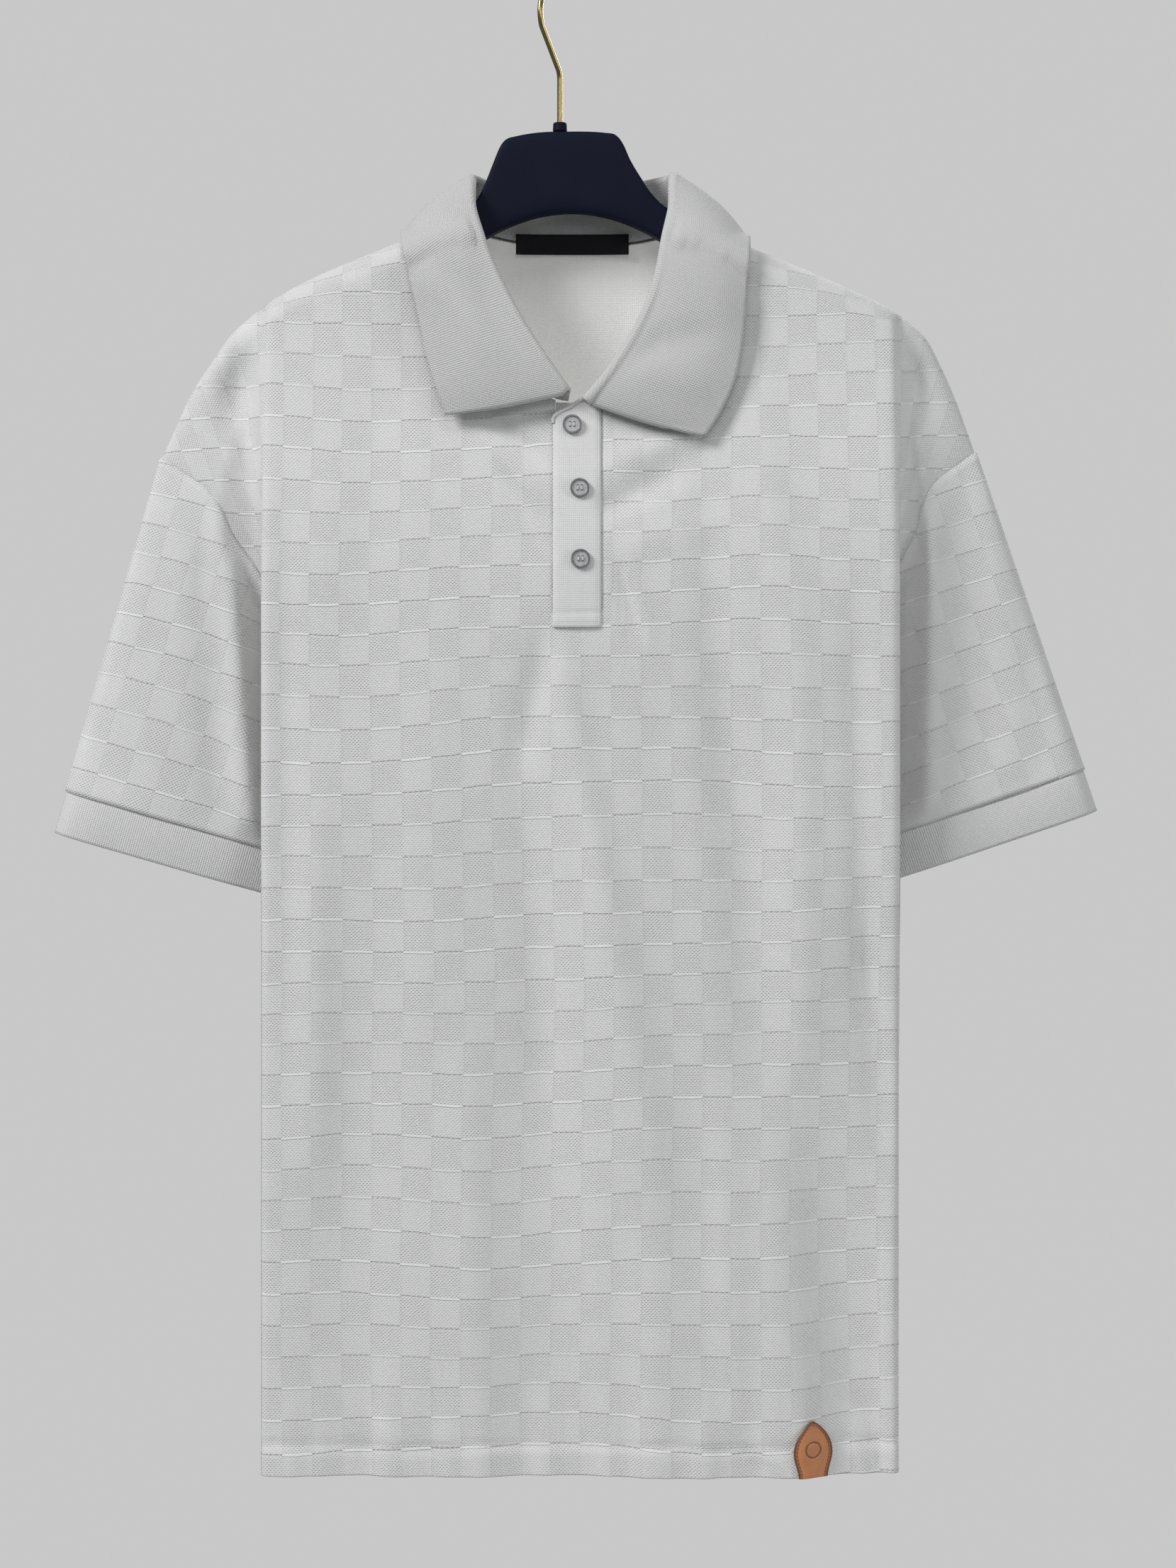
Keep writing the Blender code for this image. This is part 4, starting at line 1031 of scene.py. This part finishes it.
def thread(name, color, rough, low, high):
    """Twisted sewing thread."""
    strand = Recipe(name, color, rough)
    twist = strand.noise(2200.0)
    strand.tint(twist, low, high)
    strand.relief(twist, 0.00008)
    return strand


white = thread("white_thread", (0.80, 0.80, 0.79), 0.55, (0.66, 0.66, 0.65), (0.86, 0.86, 0.85))
white.shader.inputs["Sheen Weight"].default_value = 0.2


def sewn_line(face, start, end, lift, steps):
    """A straight line over one face of the shirt, from one (x, z) to another."""
    return [in_frame(body_point(face, mix(start[0], end[0], i / steps),
                                mix(start[1], end[1], i / steps)) + Vector((0, face * lift, 0)))
            for i in range(steps + 1)]


HEM_LINE_Z, HEM_LINE_HALF = HEM_Z + HEM_HEIGHT, 0.186
for word, face in (("front", FRONT), ("back", BACK)):
    row = sewn_line(face, (-HEM_LINE_HALF, HEM_LINE_Z), (HEM_LINE_HALF, HEM_LINE_Z), -0.0010, 120)
    sewing("hem_stitch_" + word, [row], Vector((0, face, 0)), white.material, "knit")

down_x = PLACKET_RIGHT - SEWN_IN
rows = [sewn_line(FRONT, (down_x, -0.272), (down_x, PLACKET_LOW_Z + 0.0020), 0.0007, 60)]
for z in (PLACKET_LOW_Z + 0.0018, PLACKET_LOW_Z + BOX_HIGH):
    ends = (PLACKET_LEFT + 0.0016, z), (PLACKET_RIGHT - 0.0020, z)
    rows.append(sewn_line(FRONT, *ends, 0.0011, 12))
sewing("placket_stitch", rows, Vector((0, -1, 0)), white.material, "knit")


# ---- Buttons ---------------------------------------------------------------------------------
# Three small grey shell buttons with a raised rim, turned and drilled, each sewn on through its
# four holes.
BUTTON_RADIUS = 0.00575
BUTTONS = {"button_top": (-0.0050, -0.2705), "button_middle": (-0.0005, -0.3088),
           "button_low": (0.0, -0.3511)}
HOLE_OFF = 0.00125
STRAND_OFF, STRAND_HALF = 0.00022, (0.00020, 0.00032, HOLE_OFF * 1.15, 1)


def shell_button(name, centre):
    shell = Recipe(name + "_shell", (0.42, 0.42, 0.42), 0.25)
    radius = shell.sum("DIVIDE", shell.from_axis(centre.x, centre.z), BUTTON_RADIUS)
    cloud = shell.noise(420.0, 3.0)
    dark = shell.blend(0.0, (cloud, 0.45), (shell.ramp(radius, 0.70, 0.82), 0.65))
    shell.tint(dark, (0.60, 0.60, 0.61), (0.10, 0.10, 0.11))
    shell.relief(cloud, 0.00005)
    shell.shader.inputs["Coat Weight"].default_value = 0.5
    shell.shader.inputs["Coat Roughness"].default_value = 0.12
    return shell.material


def repaint(node, paint):
    """A solid that keeps its shape gets a new material."""
    node.data.materials.clear()
    node.data.materials.append(paint)


for name, (x, z) in BUTTONS.items():
    centre = in_frame(on_front(x, z, STRIP_CLOTH + 4.5 * SEAM + 0.0019))
    repaint(bpy.data.objects[name], shell_button(name, centre))
    threads = bmesh.new()
    for across in (-HOLE_OFF, HOLE_OFF):
        for offset in (-STRAND_OFF, STRAND_OFF):
            place = Matrix.Translation(centre + Vector((across + offset, 0, 0)))
            bmesh.ops.create_uvsphere(threads, u_segments=8, v_segments=12, radius=1,
                                      matrix=place @ Matrix.Diagonal(STRAND_HALF))
    dress(finished(name + "_thread", threads), white.material, "knit")


# ---- Leather tab -----------------------------------------------------------------------------
# A small pointed tab of vegetable-tanned leather, sewn on over the hem with a border of stitches.
# Its cut edge is burnished dark, and a plain ring is pressed into the middle.
TAB_X, TAB_TOP_Z, TAB_HEIGHT, TAB_THICK = 0.1378, -0.8620, 0.033, 0.0018
TAB_WIDE, TAB_WAIST, TAB_SHOULDER = 0.0119, 0.0089, 0.0185
RING_Z, RING_RADIUS, RING_DEEP = -0.8787, 0.0045, 0.00040
TAB_LIFT = TAB_THICK + 4 * SEAM
BORDER, BORDER_DEEP, BORDER_STEPS = 0.0020, 0.0002, 40
EDGE_ROUND = 0.0006
TAB_STITCH, TAB_GAP = 0.0015, 0.0007


def tab_half_width(drop):
    if drop < TAB_SHOULDER:
        return max(0.0007, TAB_WIDE * math.sin(math.pi / 2 * (drop / TAB_SHOULDER) ** 0.80))
    return mix(TAB_WIDE, TAB_WAIST, smooth((drop - TAB_SHOULDER) / (TAB_HEIGHT - TAB_SHOULDER)))


def tab_leather():
    columns, rows = 45, 61

    def place(column, row):
        drop = TAB_HEIGHT * (row / (rows - 1)) ** 1.3
        side = 2 * column / (columns - 1) - 1
        half = tab_half_width(drop)
        x, z = TAB_X + side * half, TAB_TOP_Z - drop
        from_edge = min(half * (1 - abs(side)), drop * 0.8)
        ring = RING_DEEP * bump(math.hypot(x - TAB_X, z - RING_Z) - RING_RADIUS, 0.0005)
        rounded = EDGE_ROUND * (1 - smooth(from_edge / (2 * EDGE_ROUND)))
        rounded += BORDER_DEEP * bump(from_edge - BORDER, 0.0006)
        return on_front(x, z, TAB_LIFT - ring - rounded), (side * 0.5, from_edge)

    return thicken(sheet_object("tab_leather", columns, rows, place), TAB_THICK - 0.0004)


def tan_leather():
    leather = Recipe("tan_leather", (0.42, 0.19, 0.09), 0.5)
    from_edge = leather.flat()[1]
    edge = leather.less(leather.ramp(from_edge, 0.0006, 0.0017))
    groove = leather.line(from_edge, BORDER, 0.0002, 0.0008)
    ring = leather.line(leather.from_axis(TAB_X + SHIRT_X, RING_Z), RING_RADIUS, 0.0002, 0.0008)
    grain = leather.noise(1500.0, 3.0)
    dark = leather.blend(0.0, (leather.noise(120.0, 2.0), 0.35), (grain, 0.25), (edge, 1.1),
                         (groove, 0.35), (ring, 0.55))
    leather.tint(dark, (0.76, 0.315, 0.125), (0.17, 0.050, 0.022))
    leather.relief(grain, 0.00012)
    leather.shader.inputs["Coat Weight"].default_value = 0.15
    return leather.material


tab = dress(tab_leather(), tan_leather(), "leather", "leather_tab")
tan = thread("tan_thread", (0.22, 0.08, 0.03), 0.5, (0.16, 0.055, 0.022), (0.30, 0.11, 0.045))
border = []
for i in range(-BORDER_STEPS, BORDER_STEPS + 1):
    drop = mix(BORDER * 1.6, TAB_HEIGHT - 0.0006, (abs(i) / BORDER_STEPS) ** 1.25)
    half = max(0.0, tab_half_width(drop) - BORDER)
    x = TAB_X + math.copysign(half, i) * min(1, abs(i) / 3)
    border.append(in_frame(on_front(x, TAB_TOP_Z - drop, TAB_LIFT - 0.0001)))
sewing("tab_stitch", [border], Vector((0, -1, 0)), tan.material, "leather", TAB_STITCH, TAB_GAP)


# ---- Neck label ------------------------------------------------------------------------------
# A blank black strip of woven satin, its ends folded under, sewn along the back neck seam.
LABEL_X, LABEL_HALF, LABEL_TOP_Z, LABEL_HEIGHT = -0.0052, 0.0345, -0.1475, 0.0125
LABEL_THICK, LABEL_PUFF = 0.0010, 0.0002


def label_cloth():
    columns, rows = 71, 15

    def place(column, row):
        across = 2 * column / (columns - 1) - 1
        x = LABEL_X + across * LABEL_HALF
        z = LABEL_TOP_Z - LABEL_HEIGHT * row / (rows - 1)
        depth = panel_depth(BACK, x, shoulder_z(x) - neck_drop(BACK, x))
        puff = math.sin(math.pi * row / (rows - 1)) + smooth((abs(across) - 0.90) / 0.05)
        return Vector((x, depth - CLOTH - LABEL_THICK - 2 * SEAM - LABEL_PUFF * puff, z)), (x, z)

    return thicken(sheet_object("label_cloth", columns, rows, place), LABEL_THICK - 0.0002)


def black_satin():
    satin = Recipe("black_satin", (0.003, 0.003, 0.004), 0.75)
    across, down = satin.flat()
    twill = wave(satin, satin.blend(across, (down, 0.6)), 0.00045)
    satin.tint(twill, (0.005, 0.005, 0.007), (0.014, 0.014, 0.018))
    satin.relief(twill, 0.00006)
    satin.shader.inputs["Specular IOR Level"].default_value = 0.25
    return satin.material


label = dress(label_cloth(), black_satin(), "label", "neck_label")


# ---- Hanger ----------------------------------------------------------------------------------
# One navy plastic moulding with a finely grained satin face: a flat yoke that shows in the neck
# and two rounded arms inside the shoulders. A bent brass wire screws into the boss on its top.
HANGER_X, HANGER_HALF = 0.007, 0.176
HANGER_CLEAR = 0.0022     # between the arm and the cloth's outer face
YOKE = in_metres(Outline, [
    (-84, -153), (-71, -149), (-62, -143), (-51.9, -132.5), (-48.3, -127.2), (-44.9, -119.9),
    (-41, -110), (-36.5, -99), (-33.5, -94.8), (-26.6, -92.2), (0, -89.4), (28.2, -90.2),
    (34, -91.5), (38, -96.2), (42.7, -106.6), (50.2, -119), (54.9, -126.3), (60.9, -132.8),
    (66.5, -137), (71, -141), (79, -149), (96, -158)])
ARCH_TOP_Z, ARCH_HALF, ARCH_RISE, ARM_FALL = -0.1385, 0.054, 0.0170, 0.44
YOKE_HALF_DEPTH, ARM_HALF_DEPTH = 0.0068, 0.0160
YOKE_SQUARE, ARM_SQUARE = 0.34, 0.85     # how square the two cross-sections are
END_ROUND, THIN = 0.012, 0.020
HANGER_STEPS_ROUND, HANGER_STEPS_LONG = 64, 220


def hanger_top(x):
    if YOKE[0].x < x < YOKE[-1].x:
        return read(YOKE, "x", x).z
    return shoulder_z(x - SHIRT_X) - CLOTH - HANGER_CLEAR


def hanger_moulding():
    shape = bmesh.new()
    bmesh.ops.create_uvsphere(shape, u_segments=HANGER_STEPS_ROUND, v_segments=HANGER_STEPS_LONG,
                              radius=1)
    for vertex in shape.verts:
        px, py, pz = vertex.co
        travel = math.asin(max(-1, min(1, pz))) / (math.pi / 2)
        offset = HANGER_HALF * math.copysign(abs(travel) ** 1.12, travel)
        near_end = max(0.0, abs(offset) - HANGER_HALF + END_ROUND) / END_ROUND
        round_end = math.sqrt(max(0.0, 1 - near_end ** 2))
        outward = smooth((abs(offset) - 0.05) / 0.10)
        half_depth = mix(YOKE_HALF_DEPTH, ARM_HALF_DEPTH, outward) * round_end
        top = hanger_top(HANGER_X + offset)
        arch = ARCH_RISE * min(1, (abs(offset) / ARCH_HALF) ** 2)
        low = ARCH_TOP_Z - arch - ARM_FALL * max(0.0, abs(offset) - ARCH_HALF)
        low = min(low, top - THIN)
        length = math.hypot(px, py) or 1.0
        depth = height = 0.0
        if length >= 1e-4 and abs(pz) <= 0.99999:
            square = mix(YOKE_SQUARE, ARM_SQUARE, outward)
            depth = math.copysign(abs(px / length) ** square, px)
            height = math.copysign(abs(py / length) ** square, py)
        vertex.co = (HANGER_X + offset, half_depth * depth,
                     (top + low) / 2 + (top - low) / 2 * height * round_end)
    bmesh.ops.remove_doubles(shape, verts=shape.verts, dist=WELD)
    bmesh.ops.recalc_face_normals(shape, faces=shape.faces)
    return finished("hanger_moulding", shape)


def navy_plastic():
    plastic = Recipe("navy_plastic", (0.008, 0.010, 0.023), 0.56)
    grain, cloud = plastic.noise(2600.0, 2.0), plastic.noise(35.0, 2.0)
    plastic.tint(plastic.blend(0.0, (cloud, 0.4), (grain, 0.6)),
                 (0.0060, 0.0076, 0.0180), (0.0105, 0.0130, 0.0290))
    plastic.relief(grain, 0.00004)
    plastic.shader.inputs["Specular IOR Level"].default_value = 0.07
    return plastic.material


def brass():
    metal = Recipe("brass_wire", (0.60, 0.46, 0.20), 0.24)
    metal.shader.inputs["Metallic"].default_value = 1.0
    tarnish = metal.noise(260.0, 3.0)
    metal.tint(tarnish, (0.50, 0.40, 0.19), (0.36, 0.28, 0.12))
    metal.relief(metal.noise(900.0, 2.0), 0.00001)
    return metal.material


plastic = navy_plastic()
dress(hanger_moulding(), plastic, "plastic", "hanger_body")
repaint(bpy.data.objects["hanger_neck"], plastic)

WIRE, HOOK_RADIUS, HOOK_TURN = 0.0017, 0.0198, math.radians(57)
NECK_TOP_Z = -0.0835
reach = HOOK_RADIUS + WIRE
flat_hook = [(0, NECK_TOP_Z + SEAM), (0, -0.070), (0, -0.0575), (-0.0002, -0.0550),
             (-0.0012, -0.0520)]
for angle in range(205, 48, -4):
    turn = math.radians(angle)
    flat_hook.append((reach * math.cos(turn), -HOOK_RADIUS + reach * math.sin(turn)))
hook_path = [(out * math.cos(HOOK_TURN), out * math.sin(HOOK_TURN), z) for out, z in flat_hook]
hook = tube("hook_wire", hook_path, WIRE, brass(), "brass", round_steps=6)
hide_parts("hanger_hook")
